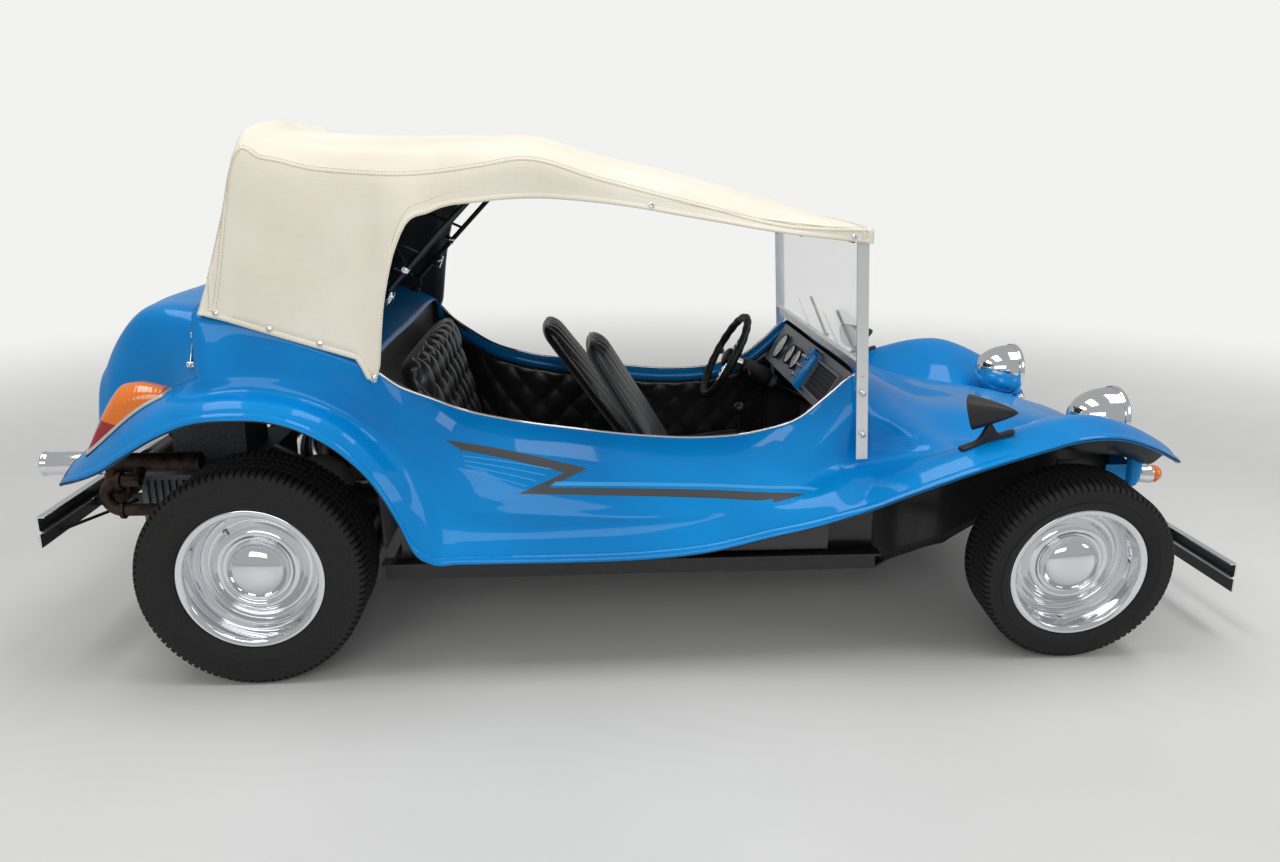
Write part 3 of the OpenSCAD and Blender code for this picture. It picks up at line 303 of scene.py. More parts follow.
def finish(name, colour, roughness=0.5, metallic=0.0, grain=None, spread=None, chips=None,
           stretch=(1, 1, 1), pebbled=False, **sockets):
    """A Principled surface. grain is (patterns per metre, depth in mm, detail), spread the range of roughness
    over it, chips two colours that it slides between; a pebbled grain is made of cells."""
    material = bpy.data.materials.new(name)
    material.use_nodes = True
    tree, shader = nodes_of(material)
    sockets.update(Base_Color=linear(colour), Roughness=roughness, Metallic=metallic)
    for socket, value in sockets.items():
        shader.inputs[socket.replace("_", " ")].default_value = value
    if grain:
        kind, output = ("Voronoi", "Distance") if pebbled else ("Noise", "Fac")
        noise = pattern(tree, kind, stretch, Scale=grain[0])
        if not pebbled:
            noise.inputs["Detail"].default_value = grain[2] if len(grain) > 2 else 3.0
        relief(tree, shader, noise, output, grain[1])
        if spread:
            rough = add(tree, "MapRange", {"Value": (noise, output)}, To_Min=spread[0], To_Max=spread[1])
            tree.links.new(rough.outputs["Result"], shader.inputs["Roughness"])
        if chips:
            two_tone(tree, shader, noise, output, *chips)
    return material

# %% [markdown]
# The body is moulded glass fibre under metallic gel coat. Flake sparkles within a deep blue, and
# a clear coat over it gives the hard, glassy highlights. The surface itself waves very slightly,
# as hand-laid mouldings do, which is what makes long reflections bend.

# %% Body paint and its stripe
def metallic_gel_coat(name, deep, bright):
    """Paint that slides from deep to bright: flake * 0.18 + cloud, under a clear coat that waves by 1.2 mm."""
    material = finish(name, bright, 0.4, 0.1, Coat_Weight=0.42, Coat_Roughness=0.03, Specular_IOR_Level=0.06)
    tree, shader = nodes_of(material)
    flake = pattern(tree, "Voronoi", Scale=900.0)
    cloud = pattern(tree, "Noise", Scale=1.6, Detail=2.0)
    both = add(tree, "Math", {0: (flake, "Color"), 2: (cloud, "Fac")}, operation="MULTIPLY_ADD")
    both.inputs[1].default_value = 0.18
    two_tone(tree, shader, both, "Value", deep, bright, 0.38, 0.78)
    wave = pattern(tree, "Noise", Scale=5.0, Detail=1.0)
    relief(tree, shader, wave, "Fac", 1.2, 0.5, ("Normal", "Coat Normal"))
    return material


body_blue = metallic_gel_coat("metallic blue gel coat", "#0074BE", "#0094E2")
stripe_grey = finish("charcoal stripe film", "#3E4042", 0.45, 0.0, (700.0, 0.04),
                     Coat_Weight=0.25, Coat_Roughness=0.15)
pinstripe_blue = finish("light blue pinstripe film", "#38A4E8", 0.4, 0.0, (700.0, 0.03))

# %% [markdown]
# Chrome plate is smooth metal with only faint polishing haze; satin aluminium keeps the lines of
# its rolling. Exhaust steel is browned by heat. Black enamel, cast alloy and forged iron make up
# the running gear, with a little dust in their roughness.

# %% Metals
pale_moulding = finish("silver plated moulding", "#CFCFCB", 0.32, 0.35)
chrome = finish("chrome plate", "#E4E6E9", 0.05, 1.0, (9.0, 0.12, 2.0), (0.03, 0.09))
aluminium = finish("rolled aluminium", "#EEF0F1", 0.26, 0.7, (60.0, 0.12, 4.0), (0.18, 0.3), stretch=(8, 8, 0.4))
grey_iron = finish("zinc plated steel", "#8D9095", 0.42, 0.9, (160.0, 0.2, 4.0), (0.32, 0.55))
browned_steel = finish("heat browned steel", "#3A2C26", 0.45, 0.6, (38.0, 0.4, 5.0), (0.35, 0.7),
                       ("#231B18", "#4E3A30"))
black_enamel = finish("black chassis enamel", "#141416", 0.38, 0.0, (120.0, 0.3, 4.0), (0.3, 0.6),
                      ("#0E0E10", "#1D1D20"), Coat_Weight=0.3, Coat_Roughness=0.2)
cast_alloy = finish("cast aluminium alloy", "#75777A", 0.55, 0.85, (220.0, 0.6, 5.0), (0.45, 0.7),
                    ("#5E6064", "#8A8C8F"))

# %% [markdown]
# Rubber is nearly black and dull, with a brownish bloom. Vinyl leathercloth has a pebbled grain
# that breaks up its highlights. The top is cotton duck coated with vinyl, so the weave barely
# shows and dirt settles in a soft mottle.

# %% Rubber, vinyl, cloth
tyre_rubber = finish("tyre rubber", "#1B1B1C", 0.7, 0.0, (180.0, 0.3, 5.0), (0.58, 0.8),
                     ("#151516", "#232322"), Specular_IOR_Level=0.35)
edge_rubber = finish("edge trim rubber", "#17181A", 0.55, 0.0, (400.0, 0.2))
black_vinyl = finish("black leathercloth", "#1E1E20", 0.27, 0.0, (420.0, 0.16), pebbled=True,
                     Specular_IOR_Level=0.8, Sheen_Weight=0.22)
black_moulding = finish("black grained plastic", "#1A1A1C", 0.5, 0.0, (600.0, 0.2), (0.42, 0.6))


def coated_duck(name, clean, worn):
    """Cotton duck under a vinyl coat: a weave coarser than the real one, so that it shows, and a soft mottle."""
    material = finish(name, clean, 0.62, Sheen_Weight=0.15, Specular_IOR_Level=0.35)
    tree, shader = nodes_of(material)
    threads = [pattern(tree, "Wave", Scale=98.0, bands_direction=axis) for axis in "XY"]
    weave = add(tree, "Math", {0: (threads[0], "Fac"), 1: (threads[1], "Fac")}, operation="ADD")
    two_tone(tree, shader, pattern(tree, "Noise", Scale=3.2, Detail=5.0), "Fac", worn, clean, 0.25, 0.6)
    relief(tree, shader, weave, "Value", 0.18, 0.6)
    return material


top_cloth = coated_duck("cream coated duck", "#F4EEDF", "#EAE2D0")
lining_cloth = coated_duck("dark grey lining", "#4A4A4A", "#3A3A3B")
stitch_thread = finish("polyester thread", "#B8AE96", 0.7, 0.0, (900.0, 0.2))

# %% [markdown]
# Glass and lamp lenses are clear bodies: light bends through them and the colour sits inside.
# Lens plastic gets fine flutes so that the light breaks up, and on the amber lens the flutes carry
# a lighter tone, a painted highlight of the reflector behind. The tail lamp is amber above and red
# below, and the two meet on a leaning plane, so its material works out on which side a point lies.

# %% Glass, lenses and the dash
def fluted(material, scale, direction, depth, strength, highlight_tones=()):
    """Adds flutes across a direction; where highlight tones are given, the flutes also slide between two colours as a
    painted highlight.
    """
    tree, shader = nodes_of(material)
    ribs = pattern(tree, "Wave", Scale=scale, bands_direction=direction)
    relief(tree, shader, ribs, "Fac", depth, strength)
    if highlight_tones:
        two_tone(tree, shader, ribs, "Fac", *highlight_tones, 0.1, 0.9)
    return material


def lens_plastic(name, colour, glow):
    """Moulded acrylic lens: a tinted body with a lighter tone painted along its flutes, a painted highlight standing
    for the bright reflector behind.
    """
    material = finish(name, colour, 0.12, Coat_Weight=1.0, Coat_Roughness=0.03, Subsurface_Weight=0.2,
                      Subsurface_Radius=(0.02, 0.01, 0.005))
    # The glow tone is painted highlight: lighter stripes along the flutes stand for reflector light.
    return fluted(material, 40.0, "Z", 0.6, 0.6, (colour, glow))


clear_glass = finish("laminated glass", "#F4FAFA", 0.0, 0.0, (4.0, 0.05, 1.0),
                     Transmission_Weight=1.0, IOR=1.45, Alpha=0.35)
lamp_glass = fluted(finish("pressed lamp glass", "#FFFFFF", 0.03, Transmission_Weight=1.0, IOR=1.5),
                    26.0, "Y", 1.2, 1.0)
# The second chip, #F58A10, is the painted highlight along the amber flutes.
amber_lens = lens_plastic("amber acrylic", "#E06A00", "#F58A10")
two_colour_lens = fluted(finish("amber and red acrylic", "#F07C10", 0.12, Coat_Weight=1.0, Coat_Roughness=0.03),
                         26.0, "X", 0.8, 0.5)
dash_panel = finish("brushed dash metal", "#8C8F94", 0.4, 0.7, (90.0, 0.1, 4.0), (0.3, 0.5), stretch=(1, 0.05, 6))
dial_black = finish("dial face enamel", "#0C0C0E", 0.3, 0.0, (300.0, 0.03), Coat_Weight=0.5)
dial_white = finish("dial marking enamel", "#E8E8E4", 0.5, 0.0, (300.0, 0.03))

# %% [markdown]
# ## Stage and light
# A pale studio: a floor that keeps the shadow, soft boxes overhead whose long shapes slide over
# paint and chrome, and a white surround that the metal can mirror. The camera sees the surround
# at full strength, and other rays see it at half.

# %% Floor, surround and soft boxes
SURROUND_WHITE = "#F2F2F1"


def seen_directly(tree):
    """1 for what the camera sees, also through glass, and 0 for mirrored or scattered light."""
    path = add(tree, "LightPath")
    return add(tree, "Math", {0: (path, "Is Camera Ray"), 1: (path, "Is Transmission Ray")}, operation="MAXIMUM")


def pale_floor(reach=14.0):
    """A wide pale floor that keeps the shadow near the car and fades into the white surround farther out."""
    material = finish("pale studio floor", "#DEDEDD")
    tree, shader = nodes_of(material)
    two_tone(tree, shader, pattern(tree, "Noise", Scale=0.6, Detail=3.0), "Fac", "#DEDEDD", "#E8E8E7", 0.3, 0.7)
    far = add(tree, "VectorMath", {0: (add(tree, "TexCoord"), "Object")}, operation="LENGTH")
    fade = add(tree, "MapRange", {"Value": (far, "Value")}, interpolation_type="SMOOTHSTEP",
               From_Min=2.6, From_Max=7.5)
    amount = add(tree, "Math", {0: (seen_directly(tree), "Value"), 1: (fade, "Result")}, operation="MULTIPLY")
    glow = add(tree, "Emission", Color=linear(SURROUND_WHITE), Strength=1.0)
    mixed = add(tree, "MixShader", {0: (amount, "Value"), 1: (shader, "BSDF"), 2: (glow, "Emission")})
    tree.links.new(mixed.outputs["Shader"], tree.nodes["Material Output"].inputs["Surface"])
    mesh = bpy.data.meshes.new("floor")
    corners = [(x * reach, y * reach, 0) for x, y in ((-1, -1), (1, -1), (1, 1), (-1, 1))]
    mesh.from_pydata(corners, [], [(0, 1, 2, 3)])
    mesh.materials.append(material)
    floor = bpy.data.objects.new("floor", mesh)
    bpy.context.collection.objects.link(floor)


def soft_box(name, place, size, power, aim):
    """A rectangular lamp turned to face a point: tilt = atan2(distance across, height) from straight down."""
    lamp = bpy.data.lights.new(name, "AREA")
    lamp.shape, lamp.size, lamp.size_y, lamp.energy = "RECTANGLE", size[0], size[1], power
    lamp_object = bpy.data.objects.new(name, lamp)
    lamp_object.location = place
    x, y, z = np.array(place) - np.array(aim)
    lamp_object.rotation_euler = (math.atan2(math.hypot(x, y), z), 0, math.atan2(y, x) + math.pi / 2)
    bpy.context.collection.objects.link(lamp_object)


pale_floor()
for k, along in enumerate((-2.6, 0.0, 2.6)):
    soft_box(f"ceiling box {k}", (along, -0.6, 4.2), (1.1, 2.6), 40, (along, -0.4, 0))
soft_box("near side fill", (-1.5, -6.0, 3.2), (4.5, 1.6), 60, (0, 0, 0.6))
soft_box("front fill", (5.5, -2.5, 2.6), (2.4, 1.4), 28, (0.6, 0, 0.5))
world = bpy.data.worlds.new("studio surround")
bpy.context.scene.world = world
world.use_nodes = True
tree = world.node_tree
bright = add(tree, "MapRange", {"Value": (seen_directly(tree), "Value")}, To_Min=0.5, To_Max=1.0)
tree.nodes["Background"].inputs["Color"].default_value = linear(SURROUND_WHITE)
tree.links.new(bright.outputs["Result"], tree.nodes["Background"].inputs["Strength"])
bpy.context.scene.view_settings.view_transform = "Standard"

# %% [markdown]
# ## The body as a lofted skin
# A buggy tub is one moulding. Its section is a smooth curve through six marks: the centre line,
# the cockpit rim, two points down the flank, the crown of the wing and the lip. The marks slide
# along the car by smooth cubics, so a short table draws the whole body. It is laid out like the
# frame's own, and refined here to a fine grid.

# %% Sizes that come from the frame
fa, ra = ((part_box(tyre)[0][0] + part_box(tyre)[1][0]) / 2 / MM for tyre in ("tyre_front_left", "tyre_rear_left"))
skin_wall = 7
FORWARD, SIDEWAYS = np.array([1.0, 0, 0]), np.array([0, 1.0, 0])
SIDES = (-1, 1)
MIRRORED = [(s, np.array([1, s, 1])) for s in SIDES]
print("axles at", fa, ra)

# %% Smooth curves through a table
def slide(table, x):
    """The columns after the first at x, by cubics: slopes average the chords on both sides, each weighted
    by the other one's length."""
    marks, values = table[:, 0], table[:, 1:]
    x = np.atleast_1d(np.asarray(x, float))
    h, rise = np.diff(marks), np.diff(values, axis=0) / np.diff(marks)[:, None]
    inner = (rise[:-1] * h[1:, None] + rise[1:] * h[:-1, None]) / (h[:-1] + h[1:])[:, None]
    slope = np.concatenate([rise[:1], inner, rise[-1:]])
    k = np.clip(np.searchsorted(marks, x, side="right") - 1, 0, len(h) - 1)
    span = h[k][:, None]
    return hermite(values[k], values[k + 1], slope[k] * span, slope[k + 1] * span, ((x - marks[k]) / h[k])[:, None])


def through(marks, steps):
    """Section curve through marks (n, m, 2): a tangent blends the chords' directions and is as long as the
    chord, or 1.6 times the shorter neighbour; the first runs level."""
    chord = np.diff(marks, axis=1)
    length = np.linalg.norm(chord, axis=2, keepdims=True)
    way = chord / length
    inner = (way[:, :-1] * length[:, 1:] + way[:, 1:] * length[:, :-1]) / (length[:, :-1] + length[:, 1:])
    level = np.broadcast_to(np.array([1.0, 0.0]), marks[:, :1].shape)
    tangent = np.concatenate([level, inner, way[:, -1:]], axis=1)
    before = np.concatenate([length[:, :1], length[:, :-1]], axis=1)
    after = np.concatenate([length[:, 1:], length[:, -1:]], axis=1)
    t = np.linspace(0, 1, steps, endpoint=False)[None, :, None]
    leave = tangent[:, :-1] * np.minimum(length, 1.6 * before)
    arrive = tangent[:, 1:] * np.minimum(length, 1.6 * after)
    parts = [hermite(marks[:, [k]], marks[:, [k + 1]], leave[:, [k]], arrive[:, [k]], t) for k in range(chord.shape[1])]
    return np.concatenate(parts + [marks[:, -1:]], axis=1)


def section(*marks, steps):
    """Section curves through marks given as pairs of a y and a z for every station."""
    return through(np.transpose(np.array(marks), (2, 0, 1)), steps)


def refined(knots, counts):
    """Each gap between knots cut into a number of equal steps."""
    counts = np.broadcast_to(counts, len(knots) - 1)
    gaps = [np.linspace(a, b, n, endpoint=False) for a, b, n in zip(knots[:-1], knots[1:], counts)]
    return np.concatenate([*gaps, knots[-1:]])

# %% Body table
# x | centre z | rim y, z | upper y, z | low y, z | crown y, z | lip y, z, in millimetres
body_rows = np.array([
    [ra - 500, 1000, 600, 990, 500, 648, 585, 640, 650, 622, 702, 598],
    [ra - 440, 1020, 610, 1005, 500, 700, 590, 692, 692, 655, 748, 620],
    [ra - 370, 1035, 630, 1020, 505, 752, 600, 748, 714, 702, 776, 648],
    [ra - 280, 1045, 650, 1035, 530, 806, 625, 808, 730, 765, 793, 702],
    [ra - 200, 1052, 665, 1045, 590, 846, 660, 836, 742, 806, 800, 748],
    [ra - 110, 1060, 668, 1050, 694, 884, 706, 850, 764, 828, 805, 785],
    [ra +  10, 1058, 674, 1034, 698, 890, 710, 860, 768, 839, 807, 797],
    [ra + 120, 1045, 684, 1000, 700, 884, 712, 848, 768, 828, 806, 788],
    [ra + 220, 1015, 692, 966, 701, 862, 710, 818, 766, 795, 804, 748],
    [ra + 300, 975, 696, 936, 701, 832, 708, 772, 764, 744, 800, 688],
    [ra + 370, 930, 690, 905, 700, 800, 706, 715, 760, 668, 797, 606],
    [ra + 430, 890, 655, 850, 690, 760, 704, 650, 757, 572, 791, 492],
    [ra + 465, 870, 632, 828, 682, 735, 702, 605, 752, 505, 785, 405],
    [ra + 505, 850, 608, 806, 670, 715, 700, 572, 744, 446, 780, 370],
    [ra + 590, 820, 570, 762, 650, 684, 700, 548, 732, 432, 771, 362],
    [ra + 720, 790, 545, 724, 632, 652, 700, 528, 727, 425, 768, 360],
    [ra + 920, 780, 542, 692, 626, 622, 698, 512, 727, 425, 768, 359],
    [fa - 1290, 780, 538, 668, 622, 602, 696, 502, 729, 426, 768, 363],
    [fa - 1100, 790, 530, 656, 612, 595, 690, 505, 728, 440, 768, 382],
    [fa - 920, 810, 522, 672, 600, 605, 676, 530, 727, 480, 770, 424],
    [fa - 800, 825, 520, 712, 586, 628, 640, 552, 715, 510, 773, 452],
    [fa - 715, 840, 520, 782, 574, 690, 604, 580, 700, 540, 776, 478],
    [fa - 640, 860, 520, 842, 570, 745, 586, 580, 690, 548, 778, 504],
    [fa - 560, 822, 450, 802, 556, 715, 580, 590, 690, 576, 781, 536],
    [fa - 450, 758, 380, 744, 522, 668, 574, 606, 690, 620, 787, 578],
    [fa - 320, 700, 330, 688, 470, 622, 565, 622, 700, 666, 793, 625],
    [fa - 170, 668, 300, 656, 415, 598, 522, 650, 683, 712, 797, 672],
    [fa -  50, 650, 285, 638, 395, 588, 505, 672, 672, 738, 799, 704],
    [fa +  60, 632, 278, 620, 388, 576, 500, 664, 668, 740, 798, 706],
    [fa + 160, 610, 276, 598, 390, 556, 500, 626, 664, 708, 788, 676],
    [fa + 240, 586, 280, 575, 400, 550, 500, 588, 650, 668, 758, 636],
    [fa + 300, 566, 284, 557, 408, 542, 500, 560, 626, 630, 702, 606],
    [fa + 330, 556, 286, 547, 408, 532, 496, 542, 590, 604, 640, 590]
])
body_start, body_stop = body_rows[0, 0], body_rows[-1, 0]


def body_marks(x):
    """The six marks (y, z) of the section at each x; the first lies on the centre line."""
    row = slide(body_rows, x)
    return np.concatenate([0 * row[:, :1], row], 1).reshape(len(row), 6, 2)


def half_section(x, steps=24):
    """Points (y, z) down one side of the body at each x."""
    return through(body_marks(x), steps)


def both_sides(x, half):
    """A grid over both sides from one side's (y, z) points at each x."""
    side = xyz(x[:, None], half[..., 0], half[..., 1])
    return np.concatenate([side[:, :0:-1], side * (1, -1, 1)], 1)


def body_sheet(x, first=0, last=5, side=0, steps=12):
    """The skin over stations x between marks first and last: side +1 or -1 for one flank, 0 for both with the middle.
    A stiffening rib swells 4 mm outward along the low flank, as a bell curve across it."""
    half = half_section(x, steps)
    place = np.arange(half.shape[1]) / steps
    window = np.clip((x - (ra + 560)) / 160, 0, 1) * np.clip(((fa - 830) - x) / 420, 0, 1)
    half[..., 0] += 4.0 * window[:, None] * np.exp(-((place[None] - 3.42) / 0.17) ** 2)
    whole = both_sides(x, half[:, first * steps:last * steps + 1])
    one = whole[:, whole.shape[1] // 2:]
    return sheet(one[:, ::-1] * (1, -1, 1) if side > 0 else one if side < 0 else whole)


def stations(start, stop, per_row=6):
    """x values between two stations, with each table row kept as one of them."""
    rows = body_rows[:, 0]
    return refined(np.array([start, *rows[(rows > start + 1) & (rows < stop - 1)], stop]), per_row)

# %% [markdown]
# The tub is cut from that sheet in four areas: the tails behind the deck, the deck, the two
# flanks beside the cockpit, and the bonnet with both wings. They share their edges, so they
# weld into one skin, and Solidify turns it into a moulded wall.

# %% The body shell
deck_rear, cockpit_rear, cockpit_front = ra - 110, ra + 370, fa - 640
tails, flanks = stations(body_start, deck_rear), stations(cockpit_rear, cockpit_front)
body = piece("body_skin", [
    body_sheet(tails, 2, 5, 1), body_sheet(tails, 2, 5, -1), body_sheet(stations(deck_rear, cockpit_rear)),
    body_sheet(flanks, 1, 5, 1), body_sheet(flanks, 1, 5, -1), body_sheet(stations(cockpit_front, body_stop))],
    [body_blue, black_enamel], replaces="body_shell", outward=False)
weld(body.data, 2e-5, False)
thicken(body, skin_wall, -1, 1)
print("body skin quads", len(body.data.polygons))

# %% [markdown]
# ## Wheels and tyres
# A wheel is a profile turned about its axle. The chrome rims are deep dished: a rolled lip, a
# barrel that steps down to the drop centre, a pressed disc, and a domed cap. Corners of the
# profile are rounded first, because it is the small radii that catch the light.

# %% Where each wheel stands
camber = math.radians(6.5)
# axle x, half track, hub height, lean, tyre radius, tyre width, rim width, half tread, disc offset
wheel_sizes = {"front": (fa, 684, 294.23, camber, 288, 194, 152, 70, 0),
               "rear": (ra, 644, 321, 0, 321, 246, 204, 97, 14)}
bead, flange, steel = 190, 18, 5
lip = bead + flange


def rim(name, centre, axis, rim_width, disc):
    """A wheel without its tyre, from (radius, place along the axle) profiles, and its valve."""
    half = rim_width / 2
    barrel = rounded([(lip - 3, half), (lip, half + 2), (lip - 1, half + steel), (lip - 7, half + steel + 2),
        (lip - 14, half + steel - 1), (bead - steel + 2, half + 1), (bead - steel, half - 8), (bead - steel - 1, 34),
        (bead - 15, 22), (bead - 20, 6), (bead - 24, -12), (bead - 27, 41 - half), (bead - steel, 26 - half),
        (bead - steel, -half - steel), (lip, -half - steel), (lip, -half), (bead, -half), (bead, 23 - half),
        (bead - 21, 40 - half), (bead - 21, 6), (bead, 27), (bead, half), (lip - 3, half)], 4)
    # The rest is measured from the disc
    face = rounded([(170, -6), (164, -14), (156, -10), (150, -4), (141, -5), (136, 0), (128, 10), (120, 17), (112, 20),
        (104, 18), (99, 12), (92, 12), (60, 14), (60, 8), (90, 6), (112, 12), (130, -6), (150, -14), (168, -20)], 3.5)
    a = np.radians(np.arange(5, 91, 5))
    cap = np.concatenate([rounded([(60, 13), (90, 13), (91.5, 16), (88.5, 19), (88, 21)], 1.5),
                          np.stack([88 * np.cos(a), 20 + 42 * np.sin(a)], -1)])
    drum = rounded([(18, -62), (122, -62), (128, -56), (128, -18), (116, -8), (100, 6), (18, 6)], 3)
    cooling = rounded([(129, -52), (132, -50), (132, -46), (129, -44)], 1)
    patches = [turned(barrel, centre, axis, 96)] + [
        turned(profile + (0, disc), centre, axis, steps, part)
        for profile, steps, part in ((face, 96, 0), (cap, 96, 0), (drum, 64, 1), (cooling, 64, 1))]
    piece("rim_" + name + "_chrome", patches, [chrome, grey_iron], "wheel_" + name, "rim_" + name,
          crisp=50)
    # The valve stands in the dish
    spread = math.radians(-38)
    radial = np.array([math.sin(spread), 0, math.cos(spread)])
    foot = centre + radial * 146 + axis * (disc - 5)
    stem = tube([foot, foot + axis * 6, foot + axis * 15 - radial * 2], [4, 3.2, 2.8], 14)
    piece("valve_" + name, [stem], grey_iron, "wheel_" + name)

# %% [markdown]
# The tread is one grid. Rows run round the tyre, four to each lug: a drop, a groove floor and a
# rise to the next top. Columns run across it, and each column may be turned a little ahead of its
# neighbour, which gives the lugs their zigzag. Grooves sink 8 mm, and the lugs run over the
# shoulders. Below them the wall carries two moulded ridges.

# %% Tyres
# place across as a share of half the tread | share of a lug groove | groove all round | turn ahead in lugs
tread_columns = [
    (0.0, 0.5, 0, 0.0), (0.16, 0.5, 0, 0.4), (0.17, 0, 1, 0.4), (0.23, 0, 1, 0.4), (0.24, 1, 0, 0.4),
    (0.38, 1, 0, 0.0), (0.53, 1, 0, 0.4), (0.54, 0, 1, 0.4), (0.60, 0, 1, 0.4), (0.61, 1, 0, 0.4),
    (0.80, 1, 0, 0.55), (1.0, 1, 0, 0.6)]
lug_pitch, groove_depth, shoulder = 20, 8, 24


def tyre(name, centre, axis, radius, width, rim_width, tread):
    """A tyre: half a section from the middle of the tread to the bead, mirrored and run round the wheel."""
    def on_shoulder(degrees):
        """Point on the shoulder's quarter circle: tread + r * sin a across, radius - r + r * cos a up."""
        a = math.radians(degrees)
        return tread + shoulder * math.sin(a), radius - shoulder + shoulder * math.cos(a)

    half = [(tread * share, radius, lug, ring, ahead) for share, lug, ring, ahead in tread_columns]
    half += [(*on_shoulder(turn), 0.9, 0, 0.6) for turn in (16, 32, 48, 60)]
    side, seat = width / 2, rim_width / 2
    wall = curve([np.array(on_shoulder(64)) - (0, 3), (side - 3, radius - 45), (side - 0.5, (radius + bead) / 2 - 4),
                  (side, bead + 48), (side - 6, bead + 32), (seat + steel + 2, lip + 3), (seat - 1, lip - 2)], 18)
    for ridge, swell, spread in ((radius - 40, 1.6, 2.6), (bead + 30, 2.2, 3.0)):
        wall[:, 0] += swell * np.exp(-((wall[:, 1] - ridge) / spread) ** 2)
    half = np.array(half + [(across, height, 0, 0, 0.6) for across, height in wall])
    across, height, lug, ring, ahead = np.concatenate([half[:0:-1] * (-1, 1, 1, 1, 1), half]).T[:, None]
    lugs = int(round(2 * math.pi * radius / lug_pitch))
    row = (np.arange(lugs)[:, None] + [0.0, 0.07, 0.27, 0.34]).reshape(-1, 1)
    sink = groove_depth * np.clip(ring + np.tile([0, 1, 1, 0], lugs)[:, None] * lug, 0, 1)
    turn = (2 * math.pi * (row + ahead) / lugs)[..., None]
    spoke = np.cos(turn) * FORWARD + np.sin(turn) * np.cross(axis, FORWARD)
    grid = centre + (height - sink)[..., None] * spoke + across[..., None] * axis
    piece("tyre_" + name + "_rubber", [(grid, True, True, 0)], tyre_rubber, "wheel_" + name, "tyre_" + name,
          crisp=40)


for end, (x, y, z, lean, radius, width, rim_width, tread, disc) in wheel_sizes.items():
    for name, s in ((end + "_left", 1), (end + "_right", -1)):
        axis, centre = np.array([0, s * math.cos(lean), -math.sin(lean)]), np.array([x, s * y, z])
        rim(name, centre, axis, rim_width, disc)
        tyre(name, centre, axis, radius, width, rim_width, tread)
        print("wheel dressed:", name)

# %% [markdown]
# ## Running gear that keeps its shape
# Castings, tubes and plates from the frame are right as they are. They get the finish that the
# workshop gave them: chassis enamel, bare alloy, zinc plate and browned steel.

# %% Finishes for the frame's own solids
for material, nodes in {
        black_enamel: "floor_pan front_beam rear_suspension pedals levers wipers top_bows",
        grey_iron: "knuckle_left knuckle_right track_rod cover_hinges",
        black_vinyl: "cockpit_tub seat_front_left seat_front_right seat_rear",
        chrome: "steering_column headlamp_left headlamp_right indicators front_bumper rear_bumper",
        cast_alloy: "engine", browned_steel: "exhaust", dash_panel: "dashboard", aluminium: "windshield_frame",
        clear_glass: "windshield_glass", edge_rubber: "steering_wheel", black_moulding: "mirrors",
        amber_lens: "tail_lamp_left tail_lamp_right", body_blue: "engine_cover front_panel"}.items():
    for node in nodes.split():
        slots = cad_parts[node].data.materials
        for k in range(len(slots)):
            slots[k] = material

# %% [markdown]
# ## The soft top
# The top is one sheet of coated duck, drawn tight over two bows and down to the deck. Its
# sections slide along the car like the body's. On top of the smooth shape come the marks of real
# cloth: a little sag between the bows, pull lines running from the bow corners to the fasteners,
# and puckers beside the seams.

# %% The top's smooth shape
screen_top, canvas = 1275, 6
# x | ridge z | side seam y, z | lower edge y, z, in millimetres
top_rows = np.array([
    [ra - 92, 1110, 650, 1085, 676, 1062],
    [ra - 54, 1250, 641, 1190, 680, 1053],
    [ra - 18, 1400, 632, 1318, 684, 1044],
    [ra + 22, 1550, 617, 1468, 688, 1032],
    [ra + 100, 1547, 613, 1470, 694, 1008],
    [ra + 220, 1542, 613, 1444, 700, 972],
    [ra + 330, 1539, 613, 1434, 704, 938],
    [ra + 385, 1538, 613, 1431, 704, 918],
    [ra + 403, 1538, 613, 1430, 704, 1067],
    [ra + 424, 1538, 613, 1429, 695, 1175],
    [ra + 456, 1537, 613, 1429, 680, 1269],
    [ra + 538, 1537, 612, 1434, 655, 1329],
    [ra + 672, 1537, 612, 1452, 640, 1355],
    [ra + 790, 1538, 612, 1470, 634, 1364],
    [ra + 993, 1484, 611, 1417, 630, 1352],
    [fa - 1130, 1420, 608, 1347, 628, 1309],
    [fa - 870, 1350, 610, 1288, 622, 1266],
    [fa - 690, screen_top + canvas + 16, 612, screen_top + 5, 618, 1244],
    [fa - 634, screen_top + canvas + 1.5, 612, screen_top + 4, 618, 1238]
])
section_steps = 16


def top_section(x):
    """Points (y, z) from the ridge down one side at each x: through the ridge, two marks, the seam and the edge."""
    ridge, seam_y, seam_z, edge_y, edge_z = slide(top_rows, x).T
    return section((0 * ridge, ridge), (seam_y * 0.55, ridge * 0.96 + seam_z * 0.04),
                   (seam_y * 0.93, seam_z * 0.5 + ridge * 0.5), (seam_y, seam_z), (edge_y, edge_z), steps=section_steps)


def ripple(x, y, z):
    """Offset of the cloth at a point: slow sag, pull lines down the rear quarters and fine puckers."""
    down, back, roof = (np.clip(share, 0, 1) for share in ((1460 - z) / 420, (ra + 420 - x) / 300, (z - 1300) / 160))
    fan = np.arctan2(z - 1000, x - (ra + 470))
    pulls = 2.2 * np.sin(9 * fan + 1.3 * np.sin(3 * fan)) * np.sin(math.pi * down) * back
    sag = -4 * np.sin(math.pi * np.clip((x - (ra + 20)) / 760, 0, 1)) ** 2
    cross = 0.5 * np.sin(x / 90 + 1.7 * np.sin(y / 200)) * np.sin(y / 130 + 0.6)
    side = 0.9 * np.sin(x / 33 + z / 60) * down * (1 - back)
    return pulls + roof * (sag * np.cos(y / 420) + cross) + side


def from_ends(count, reach):
    """0 at both ends of a row of places and 1 from the reach inward."""
    return np.clip(np.minimum(np.arange(count), np.arange(count)[::-1]) / reach, 0, 1)


